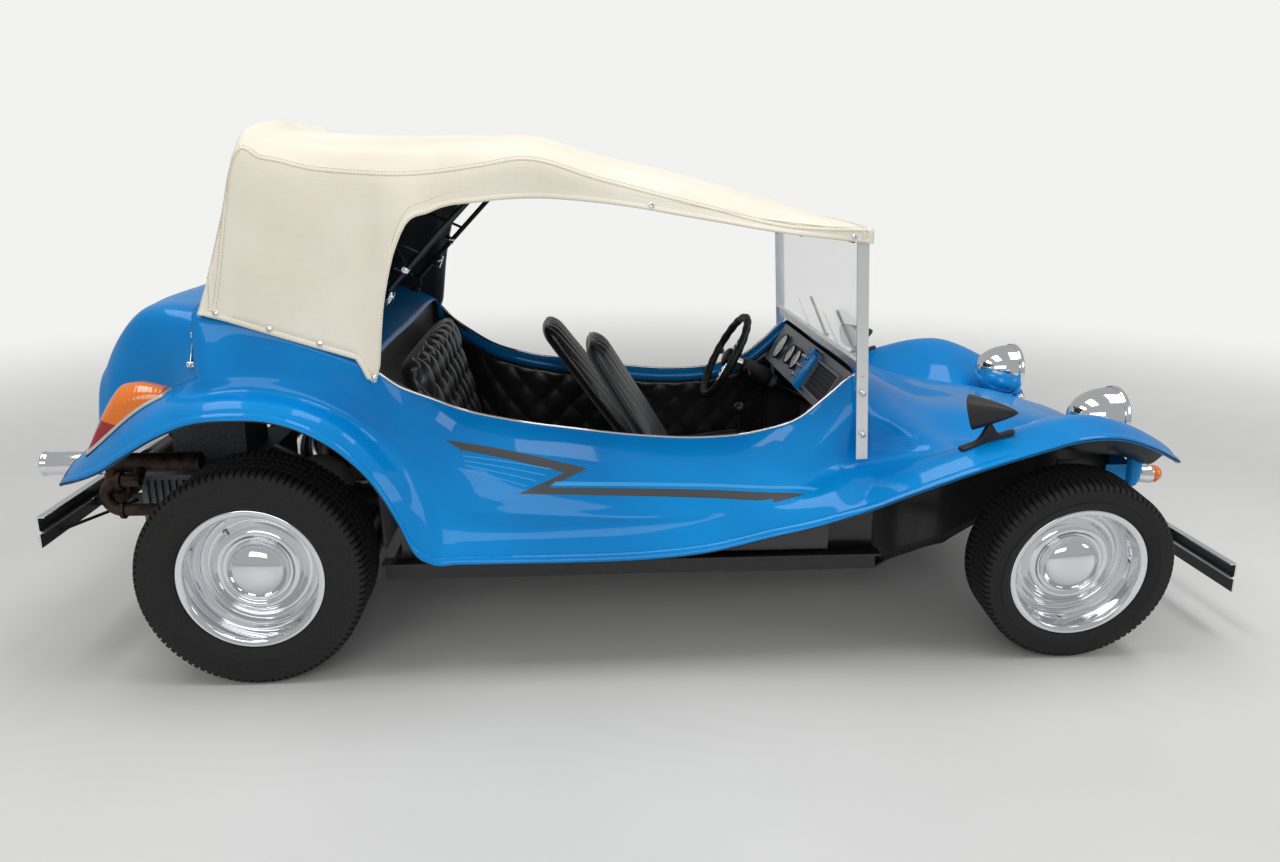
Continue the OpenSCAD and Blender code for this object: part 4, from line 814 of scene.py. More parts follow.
top_x = refined(top_rows[:, 0], np.maximum(3, np.diff(top_rows[:, 0]) / 12).astype(int))
whole = both_sides(top_x, top_section(top_x))
outward = unit(np.cross(np.gradient(whole, axis=1), np.gradient(whole, axis=0)))
edge = np.minimum(from_ends(len(top_x), 6.0)[:, None], from_ends(whole.shape[1], 5.0)[None])
top_grid = whole + outward * (ripple(*np.moveaxis(whole, -1, 0)) * edge - 2.0)[..., None]
along, across = np.diff(top_grid * MM, axis=0), np.diff(top_grid * MM, axis=1)
top_sheet = piece("soft_top_cloth", [sheet(top_grid)], [top_cloth, lining_cloth], replaces="soft_top",
                  outward=False)
thicken(top_sheet, 3, -1, 1)

# %% [markdown]
# Seams are felled: a second layer laps over the first with two rows of stitching. A lap is a thin
# strip that follows the cloth, and each stitch is a short raised thread in it. The hem round the
# side openings is a folded binding.

# %% Laps, bindings and stitches
stitch_patches, lap_patches = [], []
middle, seam_column = whole.shape[1] // 2, 3 * section_steps


def spot(i, j):
    """Places and normals of the cloth at rows i, which may fall between two, and columns j."""
    low = np.clip(np.floor(i).astype(int), 0, len(top_x) - 2)
    t = (i - low)[:, None]
    points, normals = (field[low, j] * (1 - t) + field[low + 1, j] * t for field in (top_grid, outward))
    return points, unit(normals)


def lap(i, j, width, raise_by=1.2, rows=(-0.32, 0.32), pitch=9.0, inset=0.0):
    """A lap along grid places (i, j), moved up the cloth by the inset, with rows of stitches at shares of its width."""
    i, j = (np.array(k) for k in np.broadcast_arrays(np.asarray(i, float), j))
    points, normals = spot(i, j)
    if inset:
        points = points + unit(spot(i, j + np.sign(middle - j))[0] - points) * inset
    over = unit(np.cross(unit(np.gradient(points, axis=0)), normals))
    angle = around(12)[None, :, None]
    lap_patches.append(sleeve(points[:, None] + width / 2 * pushed(np.cos(angle), 0.6) * over[:, None]
                              + raise_by * np.sin(angle) * normals[:, None]))
    length = arc_length(points)
    for row in rows:
        line = points + over * row * width + normals * raise_by * 0.95
        for n in range(int(length[-1] // pitch)):
            place = [n * pitch + 1.2, (n + 1) * pitch - 1.8]
            thread = np.stack([np.interp(place, length, line[:, k]) for k in range(3)], -1)
            stitch_patches.append(tube(thread, 0.7, 4, up=tuple(normals[len(normals) // 2])))


long_way, ring = np.arange(2, len(top_x) - 1), np.arange(2, 2 * middle - 1)
front_way = long_way[top_x[long_way] > ra + 430]
for s in SIDES:
    lap(long_way, middle + s * seam_column, 16)
    lap(long_way, middle + s * middle, 14, 1.6, (0.3,), inset=6)
    lap(front_way, middle + s * middle, 3, 0.9, (0.0,), inset=34)
lap(3, ring, 18, 1.6, (0.3,))
lap(len(top_x) - 3, ring, 16, 1.6, (-0.3, 0.3))
drop = np.clip((np.abs(ring - middle) - seam_column) / (middle - seam_column), 0, 1)
lap(np.interp(ra + 10 - 66 * drop, top_x, np.arange(len(top_x))), ring, 16)
laps = piece("soft_top_laps", lap_patches, top_cloth)
stitches = piece("soft_top_stitches", stitch_patches, stitch_thread)

# %% Snap studs
stud_profile = rounded([(0.05, 0), (8, 0), (8.5, 1.4), (6, 3.6), (0.05, 4.4)], 1)
studs = []
for x in (ra - 90, ra + 88, ra + 225, ra + 362, ra + 1130, fa - 668):
    for s in SIDES:
        i, j = int(np.clip(np.searchsorted(top_x, x), 4, len(top_x) - 5)), middle + s * middle
        at = top_grid[i, j] + unit(top_grid[i, j - s] - top_grid[i, j]) * 14
        studs.append(turned(stud_profile, at + outward[i, j] * 1.8, outward[i, j], 20))
piece("snap_studs", studs, chrome)
print("stitches", len(stitch_patches), "laps", len(lap_patches))

# %% [markdown]
# ## The engine cover
# The hump over the engine is a second moulding, hinged at the front of its opening. Its section
# runs level over the crown and turns down into the sides. It is lofted like the body, with its
# own short table, and it rides the hinged body together with the moving halves of its hinges.

# %% Engine cover skin
# x | half width of the crown, its z | half width at the foot, its z, in millimetres
cover_rows = np.array([
    [ra - 548, 240, 690, 330, 640],
    [ra - 522, 335, 800, 400, 650],
    [ra - 468, 392, 900, 460, 660],
    [ra - 398, 436, 996, 482, 690],
    [ra - 340, 462, 1048, 492, 740],
    [ra - 275, 480, 1068, 514, 796],
    [ra - 200, 492, 1066, 570, 836],
    [ra - 118, 500, 1060, 640, 872]
])


def cover_section(x, steps=14):
    """Points (y, z) down one side of the cover: the crown's middle, 72 % of its width, its shoulder and its foot."""
    crown, top, foot, low = slide(cover_rows, x).T
    return section((0 * crown, top), (crown * 0.72, top - 4), (crown, top - 22), (foot, low), steps=steps)


cover_x = refined(cover_rows[:, 0], 7)
cover = piece("engine_cover_skin", [sheet(both_sides(cover_x, cover_section(cover_x)))], body_blue,
              "engine_cover", "engine_cover", outward=False)
thicken(cover, skin_wall)
hinge_barrel = rounded([(4.3, -22), (8, -22), (8, 22), (4.3, 22)], 1.5)
screw_head = rounded([(0.05, 5), (4, 4.6), (5.5, 2), (5.5, 0)], 1)
hinge_x, hinge_y, hinge_z = ra - 118, 300, 1084
hinge_parts = []
for s in SIDES:
    pin = np.array([hinge_x, s * hinge_y, hinge_z])
    hinge_parts += [turned(hinge_barrel, pin, (0, 1, 0), 28), block(pin - (40, 22, 34), pin - (8, -22, 26), 1.5),
                    block(pin - (16, 20, 30), pin - (7, -20, 2), 1.5)]
    hinge_parts += [turned(screw_head, pin + (-28, y, -26), (0, 0, 1), 18, 1) for y in (-12, 12)]
piece("engine_cover_hinges", hinge_parts, [grey_iron, chrome], "engine_cover", crisp=35)

# %% [markdown]
# ## Edges of the mouldings
# A raw edge of glass fibre is sharp and ugly, so it gets a trim. A black rubber profile is pushed
# on along the wings, and a chrome bead covers the cockpit rim. Both are a ring carried along the
# edge of the skin. The skin itself rolls over at the lips and turns in beside the engine cover.

# %% Wing lips, cockpit bead and cover edge
def on_body(x, mark, steps=12):
    """Points on the skin at x along one of the section's marks, given as a place between 0 and 5."""
    half = half_section(x, steps)
    place = np.broadcast_to(mark, len(half)) * steps
    k = np.clip(np.floor(place).astype(int), 0, half.shape[1] - 2)
    t, rows = (place - k)[:, None], np.arange(len(half))
    point = half[rows, k] * (1 - t) + half[rows, k + 1] * t
    return xyz(x, point[:, 0], point[:, 1])


def even(line, count):
    """Points spaced evenly along a line."""
    length = arc_length(line)
    return np.stack([np.interp(np.linspace(0, length[-1], count), length, line[:, k]) for k in range(2)], -1)


lip_x = stations(body_start, body_stop, 5)
lip_edge = on_body(lip_x, 5.0)
tail_edge = on_body(np.full(14, body_start), np.linspace(2, 5, 14))
nose_edge = on_body(np.full(40, body_stop), np.linspace(5, 0, 40))
rim_edge = on_body(stations(cockpit_rear, cockpit_front, 5), 1.0)
down_way = unit(lip_edge - on_body(lip_x, 4.72))
lip_out = xyz(0, -down_way[:, 2], down_way[:, 1])
roll = np.stack([lip_edge + lip_out * out - down_way * back for out, back in (
    (-1, 25), (1.2, 24), (3.2, 21), (3.8, 12), (3.4, 3), (1.5, 0), (-2, 0))], 1)
cockpit_flange = np.stack([rim_edge + (0, y, z) for y, z in (
    (-2, -1), (-12, -6), (-20, -16), (-24, -30), (-25, -46))], 1)
# The body's end beside the cover turns in and stops a running gap short of it
running_gap, end_points = 8, 60
body_end = even(half_section(deck_rear, 16)[0, :33], end_points)
cover_front = even(cover_section(cover_rows[-1:, 0], 16)[0], end_points)
far = np.linalg.norm(body_end - cover_front, axis=1, keepdims=True)
stops = cover_front + (body_end - cover_front) / np.maximum(far, 1e-6) * np.minimum(far, running_gap)
turn_in = np.stack([xyz(deck_rear - 3 * t, *(body_end * (1 - t) + stops * t).T) for t in (0.0, 0.12, 0.5, 1.0)], 1)
cover_foot = xyz(cover_x, *(cover_section(cover_x)[:, -1] + (-3, 1)).T)
trims, rolls, edges = [], [], []
for s, mirror in MIRRORED:
    trims += [tube((line + off) * mirror, radius, sides, part) for line, off, radius, sides, part in (
        (lip_edge, (0, -3, -0.5), 3.6, 10, 0), (tail_edge, (1, 0, -3), 3.8, 10, 0),
        (nose_edge, (-1, 0, -3), 3.8, 10, 0), (rim_edge, (0, 0, 1), 4.2, 12, 1))]
    rolls += [sheet(grid * mirror) for grid in (roll, cockpit_flange, turn_in)]
    edges.append(tube(cover_foot * mirror, 5, 10))
piece("body_edge_trim", trims, [edge_rubber, chrome])
thicken(piece("body_lip_rolls", rolls, body_blue), 1.5)
y = np.linspace(-1, 1, 40) * cover_rows[0, 3]
edges.append(tube(xyz(cover_rows[0, 0] + 2, y, np.interp(np.abs(y), *cover_section(cover_rows[0, 0])[0].T)), 5, 10))
piece("cover_edge_trim", edges, edge_rubber, "engine_cover")

# %% [markdown]
# ## Stripes and pinstripes
# The stripes are cut film: thin sheets laid 0.5 mm off the skin along its own curves. The lettered
# strip that such cars carry is left bare.

# %% Places on the flank
def on_flank(x, z, side, off=0.5):
    """Points on the flank at x and height z, lifted along the skin's normal; the flank is where the skin runs down."""
    x, z = np.broadcast_arrays(np.asarray(x, float), np.asarray(z, float))
    xs = np.unique(x)
    lines, lines_ahead = (half_section(at, 24)[:, 24:] for at in (xs, xs + 2.0))
    points = []
    for k, height in zip(np.searchsorted(xs, x.reshape(-1)), z.reshape(-1)):
        y, above, below = np.interp([-height, -(height + 2), -(height - 2)], -lines[k, :, 1], lines[k, :, 0])
        y_ahead = np.interp(-height, -lines_ahead[k, :, 1], lines_ahead[k, :, 0])
        normal = unit(np.array([(y - y_ahead) / 2, 1.0, (below - above) / 4]))
        points.append(np.array([xs[k], y, height]) + normal * off)
    return np.array(points).reshape(x.shape + (3,)) * (1, side, 1)


def film(corners, columns, rows, side):
    """A sheet of film between four corners (x, z) on the flank: the two long edges are straight lines there."""
    a, b, c, d = np.array(corners, float)
    u, v = np.linspace(0, 1, columns)[:, None, None], np.linspace(0, 1, rows)[None, :, None]
    flat = (a * (1 - u) + b * u) * (1 - v) + (d * (1 - u) + c * u) * v
    return sheet(on_flank(flat[..., 0], flat[..., 1], side))


# Corners of the charcoal stripe: upper bar, slant and long bar, with mitred joints
stripe_areas = [
    [(-592.5, 696), (-189.5, 599), (-256, 591), (-547, 665)],
    [(-189.5, 599), (-304, 556), (-389, 542), (-256, 591)],
    [(-304, 556), (445.5, 523), (357, 506), (-389, 542)]]
thin_lines = [[(-545 + 4 * k, z + w), (-287 - 26 * k, z - 50 + w), (-287 - 26 * k, z - 50 - w), (-545 + 4 * k, z - w)]
              for k, z, w in ((k, 650 - 13 * k, 1.4) for k in range(4))]
stripe_patches, pin_patches = [], []
for side in SIDES:
    stripe_patches += [film(corners, 60, 5, side) for corners in stripe_areas]
    pin_patches += [film(corners, 40, 2, side) for corners in thin_lines]
    pin_patches.append(film([(-284, 570), (486, 536), (470, 531), (-298, 560)], 60, 3, side))
    for k in range(7):
        x = np.linspace(fa - 590, fa - 425 - 5 * k, 30)
        z = 656 - 6.4 * k - (x - x[0]) * 0.012
        pin_patches.append(sheet(np.stack([on_flank(x, z + 0.7, side), on_flank(x, z - 0.7, side)], 1)))
piece("charcoal_stripe", stripe_patches, stripe_grey, outward=False)
piece("pinstripes", pin_patches, pinstripe_blue, outward=False)
print("stripe sheets", len(stripe_patches), "pinstripes", len(pin_patches))

# %% [markdown]
# ## Inner walls
# Splash walls close the wings off from the bonnet, and kick panels close the footwell. They are
# flat black sheets whose top edges follow the underside of the skin.

# %% Splash walls and kick panels
def skin_height(x, y):
    """Height of the body's skin above points (x, y), read off its section curves."""
    x, y = np.broadcast_arrays(np.asarray(x, float), np.asarray(y, float))
    places, back = np.unique(np.round(x.reshape(-1), 3), return_inverse=True)
    half = half_section(places)[:, :4 * 24 + 1]
    heights = [np.interp(v, *half[k].T) for k, v in zip(back.reshape(-1), np.abs(y).reshape(-1))]
    return np.array(heights).reshape(x.shape)


plan = curve([(fa - 556, 498), (fa - 470, 466), (fa - 380, 410), (fa - 270, 350), (fa - 120, 330), (fa + 80, 330),
              (fa + 292, 330)], 90)
wall_foot = np.interp(plan[:, 0], [fa - 556, fa - 260, fa - 120, fa + 292], [226, 226, 300, 400])
kick_x = np.linspace(fa - 716, fa - 552, 16)
kick_top = body_marks(kick_x)[:, 2] + (-13, 0)
t = np.linspace(0, 1, 14)[None, :, None]
walls = [sheet((xyz(x, y0, low)[:, None] * (1 - t) + xyz(x, y1, high)[:, None] * t) * mirror)
         for s, mirror in MIRRORED for x, y0, y1, low, high in (
             (plan[:, 0], plan[:, 1], plan[:, 1], wall_foot, skin_height(plan[:, 0], plan[:, 1]) - 9),
             (kick_x, 522.0, kick_top[:, 0], 284.0, kick_top[:, 1]))]
thicken(piece("splash_walls", walls, black_enamel, outward=False), 3, 0)

# %% [markdown]
# ## Lamps
# A bullet headlamp is a spun bowl: a half ellipse behind, a rolled seam, a bezel, and a domed
# glass with a reflector inside. It stands on a moulded foot that flares into the bonnet. The foot
# is a ring whose size falls away with the height, and it stands on the skin all round.

# %% Headlamps
lamp_x, lamp_y, lamp_z, lamp_r = fa + 262, 388, 667, 100
bowl = ellipse(94, 135, 26)[::-1] * (1, -1) + (0, -22)
bezel = rounded([(94, -22), (94.5, -18), (99, -20), (lamp_r, -12), (98, -1), (93, 4), (88, 2), (87, -4), (80, -8)], 3)
reflector = np.concatenate([[(80, -8)], ellipse(80, 70, 12) * (1, -1) + (0, -8)])
a = np.linspace(0.03, 1.5707, 14)
dome = np.concatenate([[(88, 0)], np.stack([88 * np.cos(a), 13 * np.sin(a)], -1)])
dome = np.concatenate([dome, dome[::-1] * (0.97, 1) + (0, -4)])
bulb = np.concatenate([[(7, -60)], ellipse(7, 12, 6) + (0, -40)])
v, a = np.linspace(0, 1, 14)[:, None], around(40)[None]
flare = (1 - v) ** 2.2
ring_x = lamp_x - 72 + (38 + 34 * flare) * pushed(np.cos(a), 0.9)
ring_y = lamp_y + (24 + 30 * flare) * pushed(np.sin(a), 0.9)
stand = xyz(ring_x, ring_y, (skin_height(ring_x, ring_y) - 2) * (1 - v) + (lamp_z - 62) * v)
for name, s in (("headlamp_left", 1), ("headlamp_right", -1)):
    at = (lamp_x, s * lamp_y, lamp_z)
    spun = [turned(profile, at, FORWARD, steps) for profile, steps in (
        (np.concatenate([bowl, bezel]), 72), (reflector, 72), (bulb, 20))]
    piece(name + "_bowl", spun, chrome, replaces=name, crisp=45)
    piece(name + "_glass", [turned(dome, at, FORWARD, 64)], lamp_glass)
    piece(name + "_stand", [sleeve(stand * (1, s, 1))], body_blue)

# %% [markdown]
# The indicators are small chrome bowls with an amber lens, on a blue pod at each end of the
# front panel, and a small chrome lamp sits above each. The tail lamps are one moulded lens that
# stands on the wing, with a plated moulding and a gasket round its foot.

# %% Indicators
stem_and_bowl = rounded([(0.05, 0), (14, 0), (14, 18), (20, 24), (27, 44), (28.5, 66), (30, 70), (30, 78),
                         (27, 80)], 4)
amber_dome = np.concatenate([[(28, 78), (28.5, 88)], ellipse(28.5, 28, 12)[1:] + (0, 88)])
small_lamp = np.concatenate([ellipse(15, 16, 8)[::-1] * (1, -1), [(16, 2), (16, 10), (13, 13)],
                             ellipse(13, 8, 6)[1:] + (0, 13)])
v, a = np.linspace(-1, 1, 25)[:, None], around(36)[None]
girth = np.sqrt(np.clip(1 - np.abs(v) ** 2.6, 1e-6, 1))
pod = xyz(fa + 314 + 27 * girth * np.cos(a), 444 + 17 * girth * np.sin(a), 511 + 66 * v)
bowls, lenses, pods = [], [], []
for s, mirror in MIRRORED:
    at = (fa + 300, s * 430, 484)
    bowls += [turned(stem_and_bowl, at, FORWARD, 44), turned(small_lamp, (fa + 318, s * 436, 540), (1, 0, 0.1), 32)]
    lenses.append(turned(amber_dome, at, FORWARD, 44))
    pods.append(sleeve(pod * mirror))
piece("indicator_bowls", bowls, chrome, replaces="indicators", crisp=45)
piece("indicator_lenses", lenses, amber_lens)
piece("indicator_pods", pods, body_blue)

# %% Tail lamps
# Red below a plane that leans by the slope through (x, z), amber above it: z + slope * x decides
tree, shader = nodes_of(two_colour_lens)
split_slope, split_x, split_z = 0.3375, ra - 395, 776
apart = add(tree, "SeparateXYZ", {"Vector": (add(tree, "TexCoord"), "Object")})
plane = add(tree, "Math", {0: (apart, "X"), 2: (apart, "Z")}, operation="MULTIPLY_ADD")
plane.inputs[1].default_value = split_slope
above = add(tree, "Math", {0: (plane, "Value")}, operation="GREATER_THAN")
above.inputs[1].default_value = (split_slope * split_x + split_z) * MM
two_tone(tree, shader, above, "Value", "#A00C22", "#F07A0A", 0.45, 0.55)
# x from the rear axle | inner y, outer y | height
tail_rows = np.array([[-425, 580, 680, 14], [-404, 575, 683, 40], [-375, 574, 682, 68], [-345, 574, 681, 84],
                      [-300, 578, 678, 66], [-255, 586, 672, 40], [-215, 598, 664, 14]])
lens_x = np.linspace(-425, -215, 44)
inner, outer, tall = slide(tail_rows, lens_x).T[..., None]
t = np.linspace(0, 1, 27)[None]
lens_y = inner * (1 - t) + outer * t
on_wing = skin_height(ra + lens_x[:, None], lens_y)
for name, s in (("tail_lamp_left", 1), ("tail_lamp_right", -1)):
    grid = xyz(ra + lens_x[:, None], s * lens_y, on_wing + 4 + tall * np.clip(np.sin(math.pi * t), 0, 1) ** 0.24)
    base = xyz(ra + lens_x[:, None], s * lens_y, on_wing + 1)
    shell = np.concatenate([base[:1], grid, base[-1:]])
    piece(name + "_lens", [sheet(shell), sheet(base)], two_colour_lens, replaces=name)
    path = np.concatenate([base[:, 0], base[-1, 1:], base[::-1, -1][1:], base[0, ::-1][1:]]) + (0, 0, 3)
    piece(name + "_moulding", [tube(path, 6.5, 10, 0, False), tube(path - (0, 0, 8), 7, 10, 1, False)],
          [pale_moulding, edge_rubber])

# %% [markdown]
# ## Mirrors, windshield fittings and latches
# The door mirrors are black mouldings: a head like a cut-off cone, a short neck and an arched
# foot that follows the wing. The windshield's flat posts are bolted through the cowl with domed
# chrome bolts. Draw latches hold the engine cover down at each side.

# %% Mirrors
def turned_about(grid, centre, degrees):
    """Points turned about an upright line."""
    x, y, z = np.moveaxis(grid - np.asarray(centre, float), -1, 0)
    c, s = math.cos(math.radians(degrees)), math.sin(math.radians(degrees))
    return np.asarray(centre, float) + xyz(x * c - y * s, x * s + y * c, z)


mirror_x, mirror_y, mirror_z, mirror_turn = 972, 694, 760, 28
v, a = np.linspace(0, 1, 22)[:, None], around(44)[None]
taper = (1 - v) ** 0.75
tall, wide = 46 * taper + 3, 56 * taper + 3
lean = -0.25 * pushed(np.sin(a), 0.7) * tall * (1 - v)
foot_ring = np.array([(-1, 0), (-1, 0.5), (-0.8, 0.9), (-0.4, 1), (0.4, 1), (0.8, 0.9), (1, 0.5), (1, 0)])
foot_x = np.linspace(mirror_x - 82, mirror_x + 74, 34)[:, None]
rise = 9 + 46 * np.exp(-((foot_x - mirror_x) / 20) ** 2)
width = 17 - 7 * np.exp(-((foot_x - mirror_x) / 34) ** 2)
width[[0, -1]] *= 0.6
foot_y = mirror_y + width * foot_ring[:, 0]
foot_z = skin_height(foot_x, foot_y) + 1 + rise * foot_ring[:, 1]
heads, glasses = [], []
for s in SIDES:
    head = xyz(mirror_x - 54 + 128 * v + lean, s * (mirror_y - 4) + wide * pushed(np.cos(a), 0.7),
               mirror_z - 2 + 10 * v + tall * pushed(np.sin(a), 0.7))
    head = turned_about(head, (mirror_x, s * mirror_y, mirror_z), mirror_turn * s)
    back_way = np.array([math.cos(math.radians(mirror_turn)), s * math.sin(math.radians(mirror_turn)), 0])
    heads += [sleeve(closed(head, back_way * 4, back_way * 3)), sleeve(closed(xyz(foot_x, s * foot_y, foot_z)))]
    centre = head[0].mean(axis=0)
    glasses.append(sleeve(np.stack([centre + (head[0] - centre) * k - back_way * 1.2 for k in (0.93, 0.5, 0.0)])))
piece("mirror_heads", heads, black_moulding, replaces="mirrors", crisp=40)
piece("mirror_glass", glasses, chrome, outward=False)

# %% Bolts
bolt_head = np.concatenate([rounded([(9, 0), (9, 2), (7, 3)], 1), ellipse(6.5, 5, 7) + (0, 3)])
rivet = np.array([(4, 0), (4, 1.4), (0.05, 2)])
screen_foot, post_lean = (fa - 628, 602), math.tan(math.radians(2.9))
bolts = [turned(profile, (screen_foot[0] - (z - screen_foot[1]) * post_lean, s * y, z), (0, s, 0), steps)
         for s in SIDES for profile, y, z, steps in (
             (bolt_head, 614, 680, 24), (bolt_head, 614, 805, 24), (rivet, 605.2, 853, 16))]
piece("windshield_bolts", bolts, chrome, crisp=35)

# %% Latches on the engine cover
latch_x, latch_z = np.linspace(ra - 154, ra - 146, 4), np.array([908, 934, 964, 986.0])
latch_y = np.array([np.interp(-z, -line[:, 1], line[:, 0]) for line, z in zip(cover_section(latch_x, 24), latch_z)])
latch = []
for s in SIDES:
    path = xyz(latch_x, s * (latch_y + 9), latch_z)
    latch.append(tube(curve(path, 24), 3.2, 12, flat=2.4, up=(0, s, 0)))
    for foot in (path[0], path[-1]):
        latch += [block(foot - (11, 5, 8), foot + (11, 5, 8), 2.5),
                  turned(bolt_head * 0.6, foot + (0, s * 4.5, 0), (0, s, 0), 16)]
piece("cover_latches", latch, chrome, "engine_cover")
print("lamps, mirrors and fittings dressed")

# %% [markdown]
# ## Seats
# The bucket seats are foam under leathercloth. A pad is a stack of closed rings: each is wide and
# flat, its edges fall away like a superellipse, and sewing is added to the side that shows. Pleats
# are rows of half waves, and tufting is a lattice of diamonds pulled down where two sets of
# creases cross. The rings are stacked up a leaning back, or along a cushion.

# %% Pads
def ends(h, reach):
    """1 along the middle, falling to 0 at both ends of h as a quarter circle of the given reach."""
    d = np.clip(np.minimum(h - h[0], h[-1] - h) / reach, 0, 1)
    return np.sqrt(np.clip(1 - (1 - d) ** 2, 1e-5, 1))


def pad(h, wide, front, back, sewing, across=110, edge=8.0):
    """Rings at heights h: y = wide * u, depth = front * (1 - |u|^edge)^(1/2) + sewing(y, h, u), and -back behind."""
    u, back_u = np.linspace(1, -1, across)[None], np.linspace(-1, 1, 30)[1:-1][None]
    wide, front, back, height = (np.asarray(k, float)[:, None] for k in (wide, front, back, h))
    fall = np.sqrt(1 - np.abs(u) ** edge)
    depth = front * fall + sewing(wide * u, height, u) * fall ** 0.5 * ends(h, 10)[:, None]
    depth = np.concatenate([depth, -back * np.sqrt(1 - np.abs(back_u) ** edge)], 1)
    return closed(xyz(height, wide * np.concatenate([u, back_u], 1), depth))


def stand_up(grid, base, lean):
    """Places a pad: h runs up a line that leans back by the angle, depth comes forward from it."""
    c, s = math.cos(math.radians(lean)), math.sin(math.radians(lean))
    h, y, depth = np.moveaxis(grid, -1, 0)
    return sleeve(xyz(depth * c - h * s, y, h * c + depth * s) + base)


def pleats(pitch, deep, insert, bolster):
    """Sewing as half waves of the pitch across the insert, and a plain swollen bolster outside it."""
    def sewing(y, h, u):
        """deep * (|sin(pi * y / pitch)|^0.55 - 0.6) across the insert."""
        t = np.abs(u)
        inside = deep * np.abs(np.sin(math.pi * y / pitch)) ** 0.55 - deep * 0.6
        outside = bolster * np.sin(math.pi * np.clip((t - insert) / (1 - insert), 0, 1)) ** 0.7
        return np.where(t < insert, inside, outside)
    return sewing


def tufts(wide, tall, deep):
    """Sewing as diamonds of a width and height, where two sets of creases cross."""
    def sewing(y, h, u):
        """deep * (|sin(pi * (a + b)) * sin(pi * (a - b))|^0.42 - 0.55), with a and b counted in diamonds."""
        a, b = y / wide, h / tall
        return deep * np.abs(np.sin(math.pi * (a + b)) * np.sin(math.pi * (a - b))) ** 0.42 - 0.55 * deep
    return sewing

# %% Front seats
seat_floor, seat_y, back_length, cushion_length = 223, 296, 645, 468
for name, s, seat_x, lean in (("left", 1, fa - 1240, 37), ("right", -1, fa - 1140, 31)):
    h, x = np.linspace(0, back_length, 84), np.linspace(0, cushion_length, 64)
    wide = np.interp(h, [0, 330, 600, back_length], [212, 208, 150, 136]) * ends(h, 46) ** 0.3
    front, rear = (np.interp(h, [0, back_length], depths) * ends(h, 60) for depths in ([47, 38], [43, 34]))
    back = pad(h, wide, front, rear, pleats(40, 10, 0.965, 2), edge=2.6)
    back = stand_up(back, (seat_x + 40, s * seat_y, 373), lean)
    deep = (46 + 12 * x / cushion_length) * ends(x, 60)
    cushion = pad(x, 212 * ends(x, 90) ** 0.6, deep, deep, pleats(40, 10, 0.9, 4))
    cushion[..., 2] += 50 + 40 * cushion[..., 0] / 420
    cushion = sleeve(cushion + (seat_x, s * seat_y, 273))
    pads = piece("seat_front_" + name + "_pads", [back, cushion], black_vinyl,
                 replaces="seat_front_" + name)
    trim = [tube(grid[2:-2, k], 3.2, 8) for k in (109, 0) for grid, *_ in (back, cushion)]
    for y in (-140, 140):
        low = np.array([seat_x + 30, s * seat_y + y - 12, seat_floor + 0.3])
        trim += [block(low, low + (380, 24, 52), 3, part=1), tube([low + (0, 12, 12), low + (400, 12, 12)], 5, 10, 1)]
    piece("seat_front_" + name + "_piping", trim, [black_moulding, black_enamel])

# %% Rear seat
h, x = np.linspace(0, 430, 90), np.linspace(0, 346, 66)
back = pad(h, 468 * ends(h, 30) ** 0.2, 40 * ends(h, 45), 50 * ends(h, 45), tufts(112, 176, 30), 170)
cushion = pad(x, 468 * ends(x, 40) ** 0.2, 40 * ends(x, 40), 43 * ends(x, 40), tufts(112, 118, 18), 170)
rear_seat = piece("seat_rear_pads", [stand_up(back + (0, 0, 55), (cockpit_rear + 104, 0, 455.9), 14),
                                     sleeve(cushion + (cockpit_rear + 94, 0, 365.3 + 45))],
                  black_vinyl, replaces="seat_rear")

# %% Tufted lining of the cockpit's sides
x = np.linspace(cockpit_rear + 30, fa - 706, 160)
v = np.linspace(0, 1, 32)[None]
rim_line = body_marks(x)[:, 1] + (-27, -48)
line = rim_line[:, None] * (1 - v[..., None]) + np.array([524.0, 310.0]) * v[..., None]
u = np.linspace(-1, 1, len(x))[:, None]
border = np.clip(np.minimum((1 - np.abs(u)) * 40, np.minimum(v, 1 - v) * 12), 0, 1) ** 0.5
swell = (tufts(120, 130, 8)(x[:, None], v * 340, None) + 5) * border
panels = []
for s in SIDES:
    front, rear = (xyz(x[:, None], s * (line[..., 0] + off), line[..., 1]) for off in (-1 - swell, 4))
    shell, back = (np.concatenate([rear[:, :1], face, rear[:, -1:]], 1) for face in (front, rear))
    panels += [sheet(np.concatenate([back[:1], shell, back[-1:]])), sheet(rear)]
lining = piece("cockpit_side_pads", panels, black_vinyl)
print("pads built by code:", "front seats, rear seat, side linings")

# %% [markdown]
# ## Dash and steering wheel
# The dash is a grey panel that leans back. Each instrument is a black bezel over a dark face with
# white marks, under a little glass. A blue box in the middle holds the switches, and a dark pocket
# lies before the passenger. The wheel has a thick rim with finger grips.

# %% Dash
dash_lean = math.radians(31)
dash_out = np.array([-math.cos(dash_lean), 0, math.sin(dash_lean)])
dash_up = np.array([math.sin(dash_lean), 0, math.cos(dash_lean)])


def on_dash(out, y, up):
    """Points from a distance off the panel, a place across the car and a place up the panel."""
    out, y, up = (np.asarray(k, float)[..., None] for k in (out, y, up))
    return np.array([fa - 722, 0, 706.0]) + out * dash_out + up * dash_up + y * SIDEWAYS


def on_dial(degrees):
    """Direction on a dial: 0 degrees points to the left of the car and 90 degrees up."""
    return SIDEWAYS * math.cos(math.radians(degrees)) + dash_up * math.sin(math.radians(degrees))


